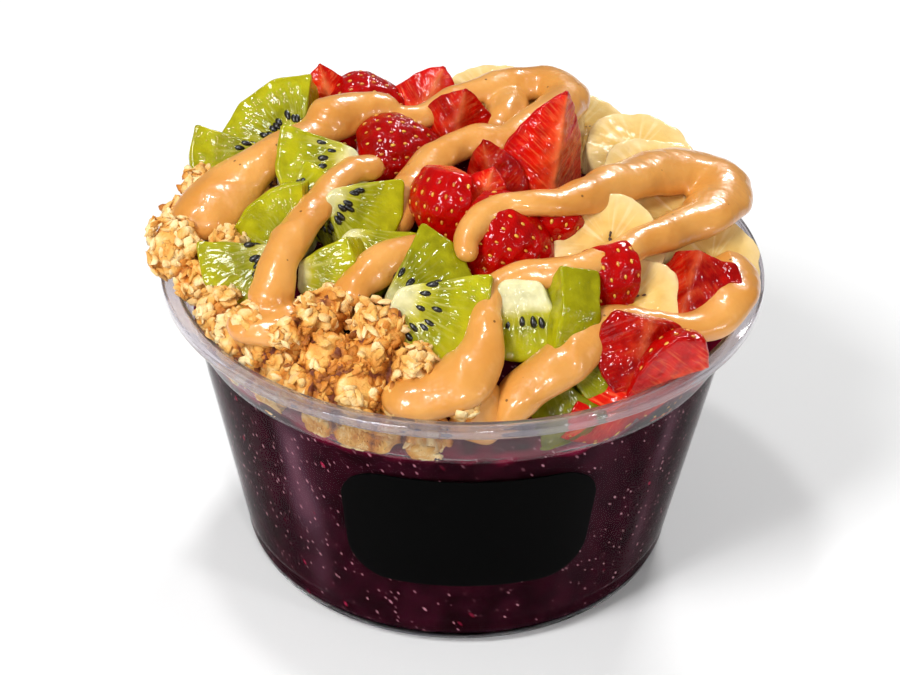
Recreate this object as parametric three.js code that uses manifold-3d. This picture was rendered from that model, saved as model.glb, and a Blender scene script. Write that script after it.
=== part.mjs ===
// An acai bowl: a clear moulded cup with a rolled rim, filled with thick acai puree and heaped with
// granola, kiwi, strawberry and banana, with ropes of nut butter poured over them.
// Millimetres, +Z up. The origin is the middle of the cup's foot, and the label faces -Y.
import * as THREE from "three";
import { mergeVertices } from "three/addons/utils/BufferGeometryUtils.js";
import Module from "manifold-3d";

const wasm = await Module();
wasm.setup();

// Driving dimensions of the cup.
const RIM_RADIUS = 71; // outside of the rolled rim
const CUP_HEIGHT = 76; // top of the rim
const WALL = 0.8; // thickness of the moulded wall
const FOOT_RADIUS = 47.2; // outer edge of the ring that it stands on
const FOOT_STEP = 9.4; // height of the step above the curved foot
const FOOT_STEP_RADIUS = 52.9;
const SHOULDER = 62.4; // height of the stacking shoulder
const SHOULDER_RADIUS = 63.4;
const NECK_RADIUS = 67.3; // outside of the wall under the rim
const PUNT = 2; // how far the middle of the base is pushed up
const CUP_SIDES = 40;

// Driving dimensions of what is in it.
const GAP = 0.3; // between neighbours that touch
const SLIVER = 0.1; // facets finer than this are smoothed away after a cut
const PUREE_EDGE = 65.5; // height of the puree where it meets the wall
const PUREE_CROWN = 85; // height of its middle, under the toppings
const PUREE_SIDES = 36;

// ---- Shared shape tools ---------------------------------------------------------------------------

// A repeatable stream of numbers from 0 to 1.
function seededRandom(seed) {
  let state = seed;
  return () => {
    state = (Math.imul(state ^ (state >>> 15), 2246822519) + 0x6d2b79f5) | 0;
    const mixed = Math.imul(state ^ (state >>> 13), 3266489917);
    return ((mixed ^ (mixed >>> 16)) >>> 0) / 4294967296;
  };
}

// A geometry's merged vertices and triangles as a manifold-3d solid with its faces pointing out.
function solidOf(geometry) {
  const bare = new THREE.BufferGeometry();
  bare.setAttribute("position", geometry.getAttribute("position"));
  bare.setIndex(geometry.getIndex());
  const merged = mergeVertices(bare, 1e-3);
  const vertProperties = new Float32Array(merged.getAttribute("position").array);
  const triVerts = new Uint32Array(merged.getIndex().array);
  const made = new wasm.Manifold(new wasm.Mesh({ numProp: 3, vertProperties, triVerts }));
  if (made.volume() > 0) return made;
  return new wasm.Manifold(new wasm.Mesh({ numProp: 3, vertProperties, triVerts: triVerts.reverse() }));
}

// The vertices and triangles of a solid as a three.js geometry.
function geometryOf(solid) {
  const mesh = solid.getMesh();
  const geometry = new THREE.BufferGeometry();
  geometry.setAttribute("position", new THREE.BufferAttribute(mesh.vertProperties, 3));
  geometry.setIndex(new THREE.BufferAttribute(mesh.triVerts, 1));
  geometry.computeVertexNormals();
  return geometry;
}

// A solid whose faces are all moved out by a distance, to cut room for it in its neighbours.
// Each vertex moves by the step that best keeps that distance from every face round it.
function grown(solid, distance = GAP) {
  const { vertProperties: places, triVerts } = solid.getMesh();
  const count = places.length / 3;
  const corners = Array.from({ length: count }, (_, i) => new THREE.Vector3().fromArray(places, 3 * i));
  const faces = corners.map(() => ({ spread: new Array(9).fill(0), pull: new THREE.Vector3() }));
  const normal = new THREE.Vector3();
  for (let t = 0; t < triVerts.length; t += 3) {
    const trio = [...triVerts.subarray(t, t + 3)];
    new THREE.Triangle(...trio.map((i) => corners[i])).getNormal(normal);
    const n = normal.toArray();
    for (const i of trio) {
      for (let k = 0; k < 9; k++) faces[i].spread[k] += n[k % 3] * n[Math.floor(k / 3)];
      faces[i].pull.addScaledVector(normal, distance);
    }
  }
  const moved = corners.map((corner, i) => {
    const { spread, pull } = faces[i];
    for (const k of [0, 4, 8]) spread[k] += 0.01;
    const step = pull.applyMatrix3(new THREE.Matrix3().fromArray(spread).invert());
    return corner.add(step.clampLength(0, 3.5 * distance)).toArray();
  });
  const vertices = new Float32Array(moved.flat());
  return new wasm.Manifold(new wasm.Mesh({ numProp: 3, vertProperties: vertices, triVerts }));
}

// What is left of a cut solid: the skin of its largest body, without scraps, slivers or sealed hollows.
function largest(solid) {
  const { vertProperties, triVerts } = solid.simplify(SLIVER).getMesh();
  const home = Array.from({ length: vertProperties.length / 3 }, (_, i) => i);
  const root = (i) => {
    while (home[i] !== i) i = home[i] = home[home[i]];
    return i;
  };
  for (let t = 0; t < triVerts.length; t += 3) {
    home[root(triVerts[t + 1])] = root(triVerts[t]);
    home[root(triVerts[t + 2])] = root(triVerts[t]);
  }
  const skins = new Map();
  for (let t = 0; t < triVerts.length; t += 3) {
    const key = root(triVerts[t]);
    skins.set(key, [...(skins.get(key) ?? []), ...triVerts.subarray(t, t + 3)]);
  }
  const bodies = [...skins.values()].map((skin) => {
    const closed = { numProp: 3, vertProperties, triVerts: new Uint32Array(skin) };
    return new wasm.Manifold(new wasm.Mesh(closed));
  });
  return bodies.sort((a, b) => b.volume() - a.volume())[0];
}

// A closed skin through cross-sections with the same number of points, each end closed by a fan.
function loft(sections) {
  const count = sections[0].length;
  const positions = sections.flat().flatMap((p) => [p.x, p.y, p.z]);
  const triangles = [];
  for (let s = 0; s + 1 < sections.length; s++) {
    for (let i = 0; i < count; i++) {
      const j = (i + 1) % count;
      const [a, b, c, d] = [s * count + i, s * count + j, (s + 1) * count + j, (s + 1) * count + i];
      triangles.push(a, b, c, a, c, d);
    }
  }
  for (const [s, flip] of [[0, true], [sections.length - 1, false]]) {
    const middle = new THREE.Vector3();
    for (const point of sections[s]) middle.addScaledVector(point, 1 / count);
    positions.push(middle.x, middle.y, middle.z);
    const hub = positions.length / 3 - 1;
    for (let i = 0; i < count; i++) {
      const [a, b] = [s * count + i, s * count + ((i + 1) % count)];
      triangles.push(...(flip ? [hub, b, a] : [hub, a, b]));
    }
  }
  const geometry = new THREE.BufferGeometry();
  geometry.setAttribute("position", new THREE.BufferAttribute(new Float32Array(positions), 3));
  geometry.setIndex(triangles);
  return geometry;
}

// Turns a shape so that its own +Z looks along `faces` and its +X leans towards `toward`, and moves it.
function placed(geometry, { at, faces, toward }) {
  const z = new THREE.Vector3(...faces).normalize();
  const x = new THREE.Vector3(...toward);
  x.addScaledVector(z, -x.dot(z)).normalize();
  const y = new THREE.Vector3().crossVectors(z, x);
  const matrix = new THREE.Matrix4().makeBasis(x, y, z).setPosition(...at);
  return geometry.applyMatrix4(matrix);
}

// ---- Cup ------------------------------------------------------------------------------------------

// Outer [radius, height] of the wall from the foot ring to the neck under the rim.
function outerWall() {
  const fillet = 8.2; // height of the curved corner above the foot ring
  const reach = FOOT_STEP_RADIUS - 0.35 - FOOT_RADIUS;
  const corner = [0.2, 0.55, 1].map((t) => [
    FOOT_RADIUS + reach * Math.sin((t * Math.PI) / 2),
    0.4 + fillet * t * t,
  ]);
  return [
    [FOOT_RADIUS, 0],
    ...corner,
    [FOOT_STEP_RADIUS, FOOT_STEP],
    [SHOULDER_RADIUS, SHOULDER],
    [SHOULDER_RADIUS + 0.6, SHOULDER + 0.7],
    [NECK_RADIUS, CUP_HEIGHT - 1.6],
  ];
}

// Inner radius of the wall at a height.
function innerRadius(height) {
  const wall = outerWall();
  for (let i = 0; i + 1 < wall.length; i++) {
    const [[r0, z0], [r1, z1]] = [wall[i], wall[i + 1]];
    if (height <= z1) return r0 + ((r1 - r0) * (height - z0)) / (z1 - z0) - WALL;
  }
  return NECK_RADIUS - WALL;
}

// Everything outside the wall's inner face, up to the rim: the contents are cut back to it.
function outsideSolid() {
  const inner = outerWall().slice(3).map(([r, z]) => [r - WALL - GAP, z]);
  const profile = [...inner, [NECK_RADIUS - 0.6, CUP_HEIGHT + GAP], [90, CUP_HEIGHT + GAP], [90, inner[0][1]]];
  const points = profile.map(([r, z]) => new THREE.Vector2(r, z));
  return solidOf(new THREE.LatheGeometry([...points, points[0]], CUP_SIDES).rotateX(Math.PI / 2));
}

function cupSolid() {
  const flange = CUP_HEIGHT - WALL;
  const floor = PUNT + WALL;
  const outer = outerWall();
  const skirt = 2.3; // depth of the rim's turned-down edge
  const inner = outer
    .slice(3)
    .reverse()
    .map(([r, z]) => [r - WALL, z + 0.1]);
  const profile = [
    [0, PUNT],
    [FOOT_RADIUS - 4.2, PUNT],
    [FOOT_RADIUS - 3, 0],
    ...outer,
    [NECK_RADIUS + 0.5, flange],
    [RIM_RADIUS - WALL, flange],
    [RIM_RADIUS - WALL, CUP_HEIGHT - skirt],
    [RIM_RADIUS, CUP_HEIGHT - skirt],
    [RIM_RADIUS, CUP_HEIGHT - 0.6],
    [RIM_RADIUS - 0.6, CUP_HEIGHT],
    [NECK_RADIUS - 0.1, CUP_HEIGHT],
    ...inner,
    [FOOT_RADIUS - 1.2, floor],
    [0, floor],
  ];
  const points = profile.map(([r, z]) => new THREE.Vector2(r, z));
  return solidOf(new THREE.LatheGeometry(points, CUP_SIDES).rotateX(Math.PI / 2));
}

// ---- Puree ----------------------------------------------------------------------------------------

// Height of the puree's uneven top at a point, a shallow dome that is lowest at the wall.
function pureeTop(x, y) {
  const share = Math.min(Math.hypot(x, y) / 65, 1);
  const dome = PUREE_EDGE + (PUREE_CROWN - PUREE_EDGE) * (1 - share ** 3.4);
  const dip = 2.5 * Math.min(Math.max(-y - 45, 0) / 15, 1); // toppings press it down at the front
  return dome - dip + 1.1 * Math.sin(x / 7 + 1) * Math.cos(y / 8) + 0.8 * Math.sin(y / 5 + x / 11);
}

function pureeSolid() {
  const ring = (radius, height) =>
    Array.from({ length: PUREE_SIDES }, (_, i) => {
      const angle = (i * 2 * Math.PI) / PUREE_SIDES;
      const [x, y] = [radius * Math.cos(angle), radius * Math.sin(angle)];
      return new THREE.Vector3(x, y, height === undefined ? pureeTop(x, y) : height);
    });
  const floor = PUNT + WALL + GAP;
  const sides = [floor, FOOT_STEP, SHOULDER - 0.6].map((z) =>
    ring(z === floor ? FOOT_RADIUS - 1.8 : innerRadius(z) - GAP - 0.1, z),
  );
  const top = [62.4, 56, 48, 38, 24, 9].map((radius) => ring(radius));
  return solidOf(loft([...sides, ...top]));
}

// ---- Label ----------------------------------------------------------------------------------------

// A rounded rectangle wrapped on the cone of the wall, as a thin skin.
function labelSolid() {
  const [width, height, corner] = [58, 35.2, 10.5];
  const [middle, turn, thick] = [38.8, (2.6 * Math.PI) / 180, 0.25];
  const slope = (SHOULDER_RADIUS - FOOT_STEP_RADIUS) / (SHOULDER - FOOT_STEP);
  const arc = FOOT_STEP_RADIUS + slope * (middle - FOOT_STEP);
  const columns = 12;
  const sections = [];
  for (let i = 0; i <= columns; i++) {
    const across = (i / columns - 0.5) * width;
    const into = Math.max(Math.abs(across) - (width / 2 - corner), 0);
    const half = height / 2 - corner + Math.sqrt(Math.max(corner ** 2 - into ** 2, 0.2));
    const wall = [half, half / 3, -half / 3, -half].map((up) => {
      const z = middle + up * 0.98;
      const radius = FOOT_STEP_RADIUS + slope * (z - FOOT_STEP) + GAP;
      return [z, radius, across / arc + turn - Math.PI / 2];
    });
    const point = ([z, radius, angle], lift) =>
      new THREE.Vector3((radius + lift) * Math.cos(angle), (radius + lift) * Math.sin(angle), z);
    sections.push([...wall.map((w) => point(w, 0)), ...wall.reverse().map((w) => point(w, thick))]);
  }
  return solidOf(loft(sections));
}

// ---- Fruit ----------------------------------------------------------------------------------------

// A slab of a round fruit: `spread` degrees of the circle about +X, `radiusAt(s)` along +Z.
// A wedge is centred halfway from the fruit's core to its skin, and a whole slice on its core.
function sectorSlab({ radius, thick, spread = 360, radiusAt = () => 1, steps = 1, arc = 5 }) {
  const wedge = spread < 360;
  const half = (spread * Math.PI) / 360;
  const shift = wedge ? -radius / 2 : 0;
  const sections = [];
  for (let level = 0; level <= steps; level++) {
    const s = level / steps;
    const reach = radius * radiusAt(s);
    const points = wedge ? [new THREE.Vector3(shift, 0, (s - 0.5) * thick)] : [];
    for (let i = 0; i <= (wedge ? arc : arc - 1); i++) {
      const angle = -half + (2 * half * i) / arc;
      points.push(
        new THREE.Vector3(shift + reach * Math.cos(angle), reach * Math.sin(angle), (s - 0.5) * thick),
      );
    }
    sections.push(points);
  }
  return loft(sections);
}

// Radius of a strawberry from its cap (s = 0) to its tip (s = 1), as a share of its widest.
const berry = (s) => Math.max(Math.sin(Math.PI * Math.min(0.2 + 0.8 * s, 1) ** 0.85) ** 0.75, 0.12);

// Kiwi chunks: `faces` is the normal of the cut face with the seeds, `toward` points from core to skin.
const KIWI = [
  { at: [-55, 25, 88], faces: [0.1, -0.8, 0.6], toward: [-1, 0, 0], radius: 23, thick: 13, spread: 34 },
  { at: [-45, 37, 89], faces: [-0.1, -0.6, 0.8], toward: [-0.6, 0.4, 0.7], radius: 21, thick: 13, spread: 85 },
  { at: [-31, 6, 92], faces: [0, -0.7, 0.7], toward: [-0.9, -0.2, -0.3], radius: 25, thick: 13, spread: 80 },
  { at: [-35, -5, 91], faces: [-0.2, -0.6, 0.8], toward: [0.8, 0.3, 0.5], radius: 16, thick: 12, spread: 70 },
  { at: [-40, -9, 88], faces: [-0.2, -0.9, 0.4], toward: [-0.6, 0.4, 0.7], radius: 20, thick: 12, spread: 66 },
  { at: [-48, -19, 81], faces: [-0.1, -0.7, 0.7], toward: [-0.8, -0.3, -0.5], radius: 21, thick: 14, spread: 76 },
  { at: [-30, -27, 86], faces: [-0.3, -0.8, 0.5], toward: [1, 0, -0.1], radius: 18, thick: 13, spread: 75 },
  { at: [-22, -21, 86], faces: [0.1, -0.5, 0.9], toward: [0.7, -0.4, -0.6], radius: 19, thick: 13, spread: 80 },
  { at: [-26, -10, 92], faces: [0.3, -0.7, 0.6], toward: [0.9, -0.2, -0.4], radius: 21, thick: 13, spread: 78 },
  { at: [-5, -40, 84], faces: [-0.1, -0.8, 0.6], toward: [0.9, -0.3, -0.4], radius: 22, thick: 13, spread: 76 },
  { at: [-5, -33, 86], faces: [0.1, -0.6, 0.8], toward: [0.8, 0.3, 0.4], radius: 20, thick: 13, spread: 60 },
  { at: [14, -40, 83], faces: [-0.2, -0.8, 0.5], toward: [0, -0.6, -0.8], radius: 23, thick: 13, spread: 58 },
  { at: [22, -39, 86], faces: [-0.9, -0.3, 0.3], toward: [0.4, -0.8, 0.6], radius: 20, thick: 10, spread: 60 },
  { at: [28, -49, 74], faces: [0.2, -0.8, 0.6], toward: [0.9, -0.2, -0.4], radius: 15, thick: 9, spread: 60 },
  { at: [21, -51, 69], faces: [-0.2, -0.8, 0.6], toward: [0.3, -0.5, -0.8], radius: 18, thick: 11, spread: 80 },
];

// Strawberry pieces: `faces` points to the tip, `toward` to the middle of the skin.
const STRAWBERRY = [
  { at: [-33, 52, 86], faces: [-0.3, 0.5, 0.8], toward: [0, 0.8, -0.6], radius: 13, thick: 24, spread: 110 },
  { at: [-22, 49, 90], faces: [1, 0.1, 0.1], toward: [0, -0.5, 0.9], radius: 12, thick: 22, spread: 150 },
  { at: [-10, 53, 87], faces: [0.4, 0.5, 0.7], toward: [0, 0.8, -0.6], radius: 12, thick: 21, spread: 150 },
  { at: [-1, 33, 96], faces: [0.2, 0.2, 1], toward: [0, 0.7, -0.7], radius: 11, thick: 16, spread: 130 },
  { at: [-14, 21, 93], faces: [1, 0.1, 0.1], toward: [0, -0.6, 0.8], radius: 12, thick: 22, spread: 170 },
  { at: [19, 13, 98], faces: [0.1, 0.3, 1], toward: [0, 0.8, -0.6], radius: 15, thick: 31, spread: 100 },
  { at: [7, 7, 95], faces: [-0.2, 0.4, 0.9], toward: [0.3, 0.8, -0.5], radius: 10, thick: 17, spread: 110 },
  { at: [-7, -11, 93], faces: [-0.1, -0.4, -0.9], toward: [-0.8, -0.1, 0.6], radius: 11.5, thick: 22, spread: 170 },
  { at: [4, -3, 92], faces: [0.3, 0.5, 0.8], toward: [0, 0.8, -0.6], radius: 10, thick: 18, spread: 120 },
  { at: [12, -22, 94], faces: [0.9, -0.3, -0.3], toward: [0, -0.5, 0.9], radius: 13, thick: 24, spread: 180 },
  { at: [21, -17, 94], faces: [-0.2, -0.5, -0.8], toward: [0.4, -0.8, 0.5], radius: 7.5, thick: 13, spread: 160 },
  { at: [30, -34, 89], faces: [0.3, -0.7, -0.7], toward: [-0.7, -0.2, 0.7], radius: 10, thick: 17, spread: 180 },
  { at: [52, -31, 85], faces: [-0.3, -0.7, -0.7], toward: [0.3, 1, 0.1], radius: 11.5, thick: 19, spread: 120 },
  { at: [38, -47, 79], faces: [-0.2, -0.4, -0.9], toward: [-0.3, 0.7, -0.7], radius: 11, thick: 20, spread: 150 },
  { at: [43, -46, 75], faces: [-0.9, -0.3, -0.2], toward: [0.5, 0.9, 0.2], radius: 13, thick: 20, spread: 180 },
  { at: [30, -56, 68], faces: [-0.9, -0.4, -0.3], toward: [0, 0.8, -0.6], radius: 9, thick: 18, spread: 160 },
];

// Banana slices: `faces` is the normal of the upper cut face.
const BANANA = [
  { at: [7, 55, 85.5], faces: [0, -0.3, 0.9], radius: 14, thick: 7.5 },
  { at: [17, 46, 87], faces: [0, -0.5, 0.9], radius: 13, thick: 7.5 },
  { at: [28, 50, 81], faces: [0.1, -0.3, 0.9], radius: 13.5, thick: 7.5 },
  { at: [42, 34, 84], faces: [0.1, -0.3, 1], radius: 13.5, thick: 7.5 },
  { at: [45, 18, 85], faces: [0.1, -0.3, 0.9], radius: 13.5, thick: 7.5 },
  { at: [33, -18, 89], faces: [0, -0.6, 0.8], radius: 13, thick: 7.5 },
  { at: [50, 1, 85], faces: [0.2, -0.3, 0.9], radius: 13.5, thick: 7.5 },
  { at: [37, -34, 84], faces: [0.1, -0.4, 0.9], radius: 12.5, thick: 7.5 },
  { at: [56, -12, 82], faces: [0.3, -0.6, 0.8], radius: 12.5, thick: 7.5 },
];

const kiwiShape = (piece) => placed(sectorSlab(piece), piece);
const berryShape = (piece) => placed(sectorSlab({ radiusAt: berry, steps: 3, ...piece }), piece);
const bananaShape = (piece) => placed(sectorSlab({ arc: 12, ...piece }), { toward: [1, 0, 0], ...piece });

// ---- Granola --------------------------------------------------------------------------------------

// Clusters of the granola heap: [degrees round the bowl, distance from its axis, height, size].
const CLUSTERS = [
  [-170, 67, 84, 7],
  [179, 66, 85, 4.5],
  [171, 64, 88, 4],
  [-163, 63, 79, 5],
  [-152, 62, 78, 5.5],
  [-144, 62, 77, 5.5],
  [-136, 60, 79, 6.5],
  [-129, 61, 76, 5],
  [-123, 62, 75, 5],
  [-166, 55, 86, 4.5],
  [-127, 54, 84, 7],
  [-130, 58, 82, 4.5],
  [-126, 49, 86, 5.5],
  [-121, 57, 80, 6.5],
  [-116, 58, 79, 5],
  [-113, 49, 85, 6],
  [-111, 55, 79, 6.5],
  [-109, 49, 85, 4.5],
  [-101, 55, 79, 6],
  [-112, 60, 76, 6.5],
  [-117, 61, 75, 5],
  [-102, 60, 75, 5],
  [-119, 60, 68, 6],
  [-111, 61, 67, 6],
  [-106, 60, 66, 5],
  [-97, 60, 66, 5],
  [-132, 60, 68, 6],
  [-143, 60, 69, 6],
];

// An uneven lump with few sides.
function lump(size, random) {
  const ball = new THREE.IcosahedronGeometry(size, size > 5.2 ? 1 : 0);
  const geometry = mergeVertices(ball.deleteAttribute("normal").deleteAttribute("uv"), 1e-2);
  const position = geometry.getAttribute("position");
  const point = new THREE.Vector3();
  for (let i = 0; i < position.count; i++) {
    point.fromBufferAttribute(position, i).multiplyScalar(0.8 + 0.42 * random());
    position.setXYZ(i, point.x, point.y, point.z);
  }
  return geometry;
}

function granolaSolid() {
  const random = seededRandom(11);
  // The core is a ridge along the wall, from behind the left side round to the front, where it is lower.
  const stations = 16;
  const ridge = Array.from({ length: stations + 1 }, (_, i) => {
    const share = i / stations;
    const angle = ((138 + share * 131) * Math.PI) / 180;
    const along = new THREE.Vector3(Math.cos(angle), Math.sin(angle), 0);
    const [inner, outer, top] = [44 + 8 * share, 61.5, 84 - 12 * share ** 2];
    return [[outer, 67], [outer + 1, top - 3], [outer - 3, top], [inner + 2, top], [inner, 67]].map(
      ([radius, z]) => along.clone().multiplyScalar(radius).setZ(z),
    );
  });
  const pieces = [solidOf(loft(ridge))];
  for (const [degrees, distance, height, size] of CLUSTERS) {
    const angle = (degrees * Math.PI) / 180;
    const shape = lump(size, random);
    shape.translate(distance * Math.cos(angle), distance * Math.sin(angle), height);
    pieces.push(solidOf(shape));
  }
  return wasm.Manifold.union(pieces);
}

// ---- Nut butter -----------------------------------------------------------------------------------

// Strands of nut butter as they lie on the pile: points [x, y, z, width] along the middle of each.
// Strands of one node run into each other.
const STRANDS = {
  nut_butter_back: [
    [
      [-65, -8, 86, 12], [-61, -3, 88, 16], [-56, 2, 91, 15], [-50, 7, 95, 12], [-44, 14, 97, 11],
      [-37, 22, 97, 9], [-29, 28, 97, 9], [-21, 32, 97, 9], [-15, 32, 96, 8], [-10, 34, 96, 8],
      [-4, 40, 97, 8], [5, 45, 97.5, 8], [13, 50, 97.5, 9], [21, 50, 97.5, 9], [26, 41, 98, 8],
      [22, 31, 99, 8], [16, 23, 99, 8], [10, 18, 98, 8], [3, 18, 98, 9], [-3, 15, 97, 9],
      [-9, 10, 96, 9], [-13, 3, 95, 9], [-15, -7, 93, 8],
    ],
  ],
  nut_butter_left: [
    [
      [-19, 6, 97, 7], [-26, 1, 98, 8], [-31, -8, 98, 9], [-35, -17, 97, 9], [-39, -25, 95, 9],
      [-41, -32, 93, 9], [-42, -38, 90, 10], [-43, -43, 86, 14],
    ],
  ],
  nut_butter_middle: [
    [
      [-26, -41, 88, 9], [-24, -36, 90, 9], [-19, -31, 92, 9], [-14, -27, 93, 9], [-8, -25, 93, 9],
      [-3, -28, 93, 8],
    ],
  ],
  nut_butter_right: [
    [
      [2, -33, 95, 6], [1, -28, 98, 6], [4, -22, 100, 7], [9, -18, 101, 7], [16, -16, 101, 9],
      [23, -13, 99, 10], [32, -4, 97, 9], [41, 7, 95, 10], [50, 15, 93, 10], [58, 15, 92, 11],
      [61, 6, 92, 11], [57, -5, 92, 11], [51, -12, 93, 10], [42, -20, 94, 9], [34, -28, 95, 9],
      [26, -34, 95, 8], [19, -35, 94, 8], [12, -34, 93, 8], [7, -38, 91, 7], [5, -44, 89, 7],
      [4, -51, 86, 9], [3, -56, 82, 13], [-1, -58, 78, 13], [-8, -58, 76, 12],
    ],
    [[2, -56, 80, 12], [3, -58, 74, 13], [3, -58, 67, 12], [3, -57, 64, 8]],
  ],
  nut_butter_front: [
    [
      [57, -25, 87, 12], [58, -32, 85, 14], [54, -38, 83, 12], [48, -41, 84, 9], [42, -40, 85, 8],
      [37, -40, 86, 8], [31, -42, 86, 10], [26, -46, 84, 12], [21, -51, 81, 12], [15, -55, 78, 12],
      [11, -58, 74, 11], [10, -58, 69, 10],
    ],
  ],
};

// A drooping rope of thick sauce: wider than it is tall, and rounded off at both ends.
function ropeSolid(points) {
  const [step, sides] = [6, 6];
  const path = new THREE.CatmullRomCurve3(points.map(([x, y, z]) => new THREE.Vector3(x, y, z)));
  const widths = new THREE.CatmullRomCurve3(points.map(([x, y, , w]) => new THREE.Vector3(x, y, w)));
  const stations = Math.round(path.getLength() / step);
  const sections = [];
  for (let i = 0; i <= stations; i++) {
    const share = path.getUtoTmapping(i / stations);
    const centre = path.getPoint(share);
    const end = i === 0 || i === stations ? 0.55 : 1;
    const half = (widths.getPoint(share).z / 2) * end;
    const along = path.getTangent(share).normalize();
    const side = new THREE.Vector3(-along.y, along.x, 0).normalize();
    const up = new THREE.Vector3().crossVectors(along, side);
    if (up.z < 0) up.negate();
    sections.push(
      Array.from({ length: sides }, (_, k) => {
        const angle = ((k + 0.5) * 2 * Math.PI) / sides;
        return centre
          .clone()
          .addScaledVector(side, Math.cos(angle) * half * 1.06)
          .addScaledVector(up, Math.sin(angle) * half * 0.82);
      }),
    );
  }
  return solidOf(loft(sections));
}

// ---- The bowl -------------------------------------------------------------------------------------

const COLOURS = {
  clear: { color: 0xe9edf0, roughness: 0.05, metalness: 0 },
  puree: { color: 0x3a1522, roughness: 0.35, metalness: 0 },
  label: { color: 0x131414, roughness: 0.45, metalness: 0 },
  kiwi: { color: 0x9bb02e, roughness: 0.3, metalness: 0 },
  strawberry: { color: 0xc61418, roughness: 0.25, metalness: 0 },
  banana: { color: 0xecdb9a, roughness: 0.45, metalness: 0 },
  granola: { color: 0xcf9a58, roughness: 0.8, metalness: 0 },
  butter: { color: 0xc68f4f, roughness: 0.2, metalness: 0 },
};

const materials = Object.fromEntries(
  Object.entries(COLOURS).map(([name, look]) => [name, new THREE.MeshStandardMaterial(look)]),
);

const bowl = new THREE.Group();

function add(name, solid, material) {
  const mesh = new THREE.Mesh(geometryOf(solid), materials[material]);
  mesh.name = name;
  bowl.add(mesh);
}

const cup = cupSolid();
const puree = pureeSolid();
add("cup", cup, "clear");
add("acai_puree", puree, "puree");
add("label", labelSolid(), "label");

// Each topping as it was cut, before the pile presses the pieces together.
const number = (i) => String(i + 1).padStart(2, "0");
const fruit = [
  ...KIWI.map((piece, i) => ({ name: "kiwi_" + number(i), piece, shape: kiwiShape, look: "kiwi" })),
  ...STRAWBERRY.map((piece, i) => ({
    name: "strawberry_" + number(i),
    piece,
    shape: berryShape,
    look: "strawberry",
  })),
  ...BANANA.map((piece, i) => ({ name: "banana_" + number(i), piece, shape: bananaShape, look: "banana" })),
];

// The highest pieces keep their whole shape, and those below are hollowed where the higher ones press.
// The last strawberry is wedged against the wall, and its neighbours give way to it.
const rank = ({ name, piece }) => (name === "strawberry_16" ? CUP_HEIGHT + 30 : piece.at[2]);
fruit.sort((a, b) => rank(b) - rank(a));
const room = [outsideSolid(), grown(puree)];
for (const { name, piece, shape, look } of fruit) {
  const whole = solidOf(shape(piece));
  const fitted = largest(whole.subtract(wasm.Manifold.union(room)));
  room.push(grown(whole));
  add(name, fitted, look);
}
const granola = largest(granolaSolid().simplify(0.4).subtract(wasm.Manifold.union(room)));
add("granola", granola, "granola");
room.push(grown(granola));

for (const [name, strands] of Object.entries(STRANDS)) {
  const rope = wasm.Manifold.union(strands.map(ropeSolid));
  add(name, largest(rope.subtract(wasm.Manifold.union(room))), "butter");
  room.push(grown(rope));
}

export default bowl;
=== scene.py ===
"""An acai bowl: a clear moulded cup of frozen puree, heaped with granola, fruit and nut butter.

Shapes are reckoned in millimetres, with +Z up and the label towards -Y, and become metres when a mesh is
made. Each piece of fruit is shaped in its own frame, with the fruit's core along Z, and then set in place.
"""

from __future__ import annotations

import logging
import math
from collections.abc import Sequence
from dataclasses import dataclass, field
from enum import Enum
from typing import ClassVar

import bpy
import numpy as np
from mathutils import Matrix


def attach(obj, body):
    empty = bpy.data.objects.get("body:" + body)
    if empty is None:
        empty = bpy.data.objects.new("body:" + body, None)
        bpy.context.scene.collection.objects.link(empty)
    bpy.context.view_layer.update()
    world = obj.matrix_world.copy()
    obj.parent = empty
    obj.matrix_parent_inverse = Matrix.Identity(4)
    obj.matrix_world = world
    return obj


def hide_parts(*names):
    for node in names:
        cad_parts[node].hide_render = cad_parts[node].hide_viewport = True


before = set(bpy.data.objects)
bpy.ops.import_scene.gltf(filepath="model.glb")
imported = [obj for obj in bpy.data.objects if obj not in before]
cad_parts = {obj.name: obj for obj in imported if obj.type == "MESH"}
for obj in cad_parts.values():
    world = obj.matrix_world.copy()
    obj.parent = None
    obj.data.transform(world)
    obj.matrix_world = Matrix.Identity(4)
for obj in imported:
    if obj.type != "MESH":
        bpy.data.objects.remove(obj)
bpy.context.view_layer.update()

log = logging.getLogger("acai_bowl")

MM = 0.001
Array = np.ndarray
Vec = tuple[float, float, float]


# ---- Shared tools -----------------------------------------------------------------------------------


def linear(code: str) -> tuple[float, float, float, float]:
    """Turn an sRGB colour, "#rrggbb", into linear red, green and blue, with an alpha of one."""
    shares = [int(code[i : i + 2], 16) / 255 for i in (1, 3, 5)]
    red, green, blue = (s / 12.92 if s <= 0.04045 else ((s + 0.055) / 1.055) ** 2.4 for s in shares)
    return red, green, blue, 1.0


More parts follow.
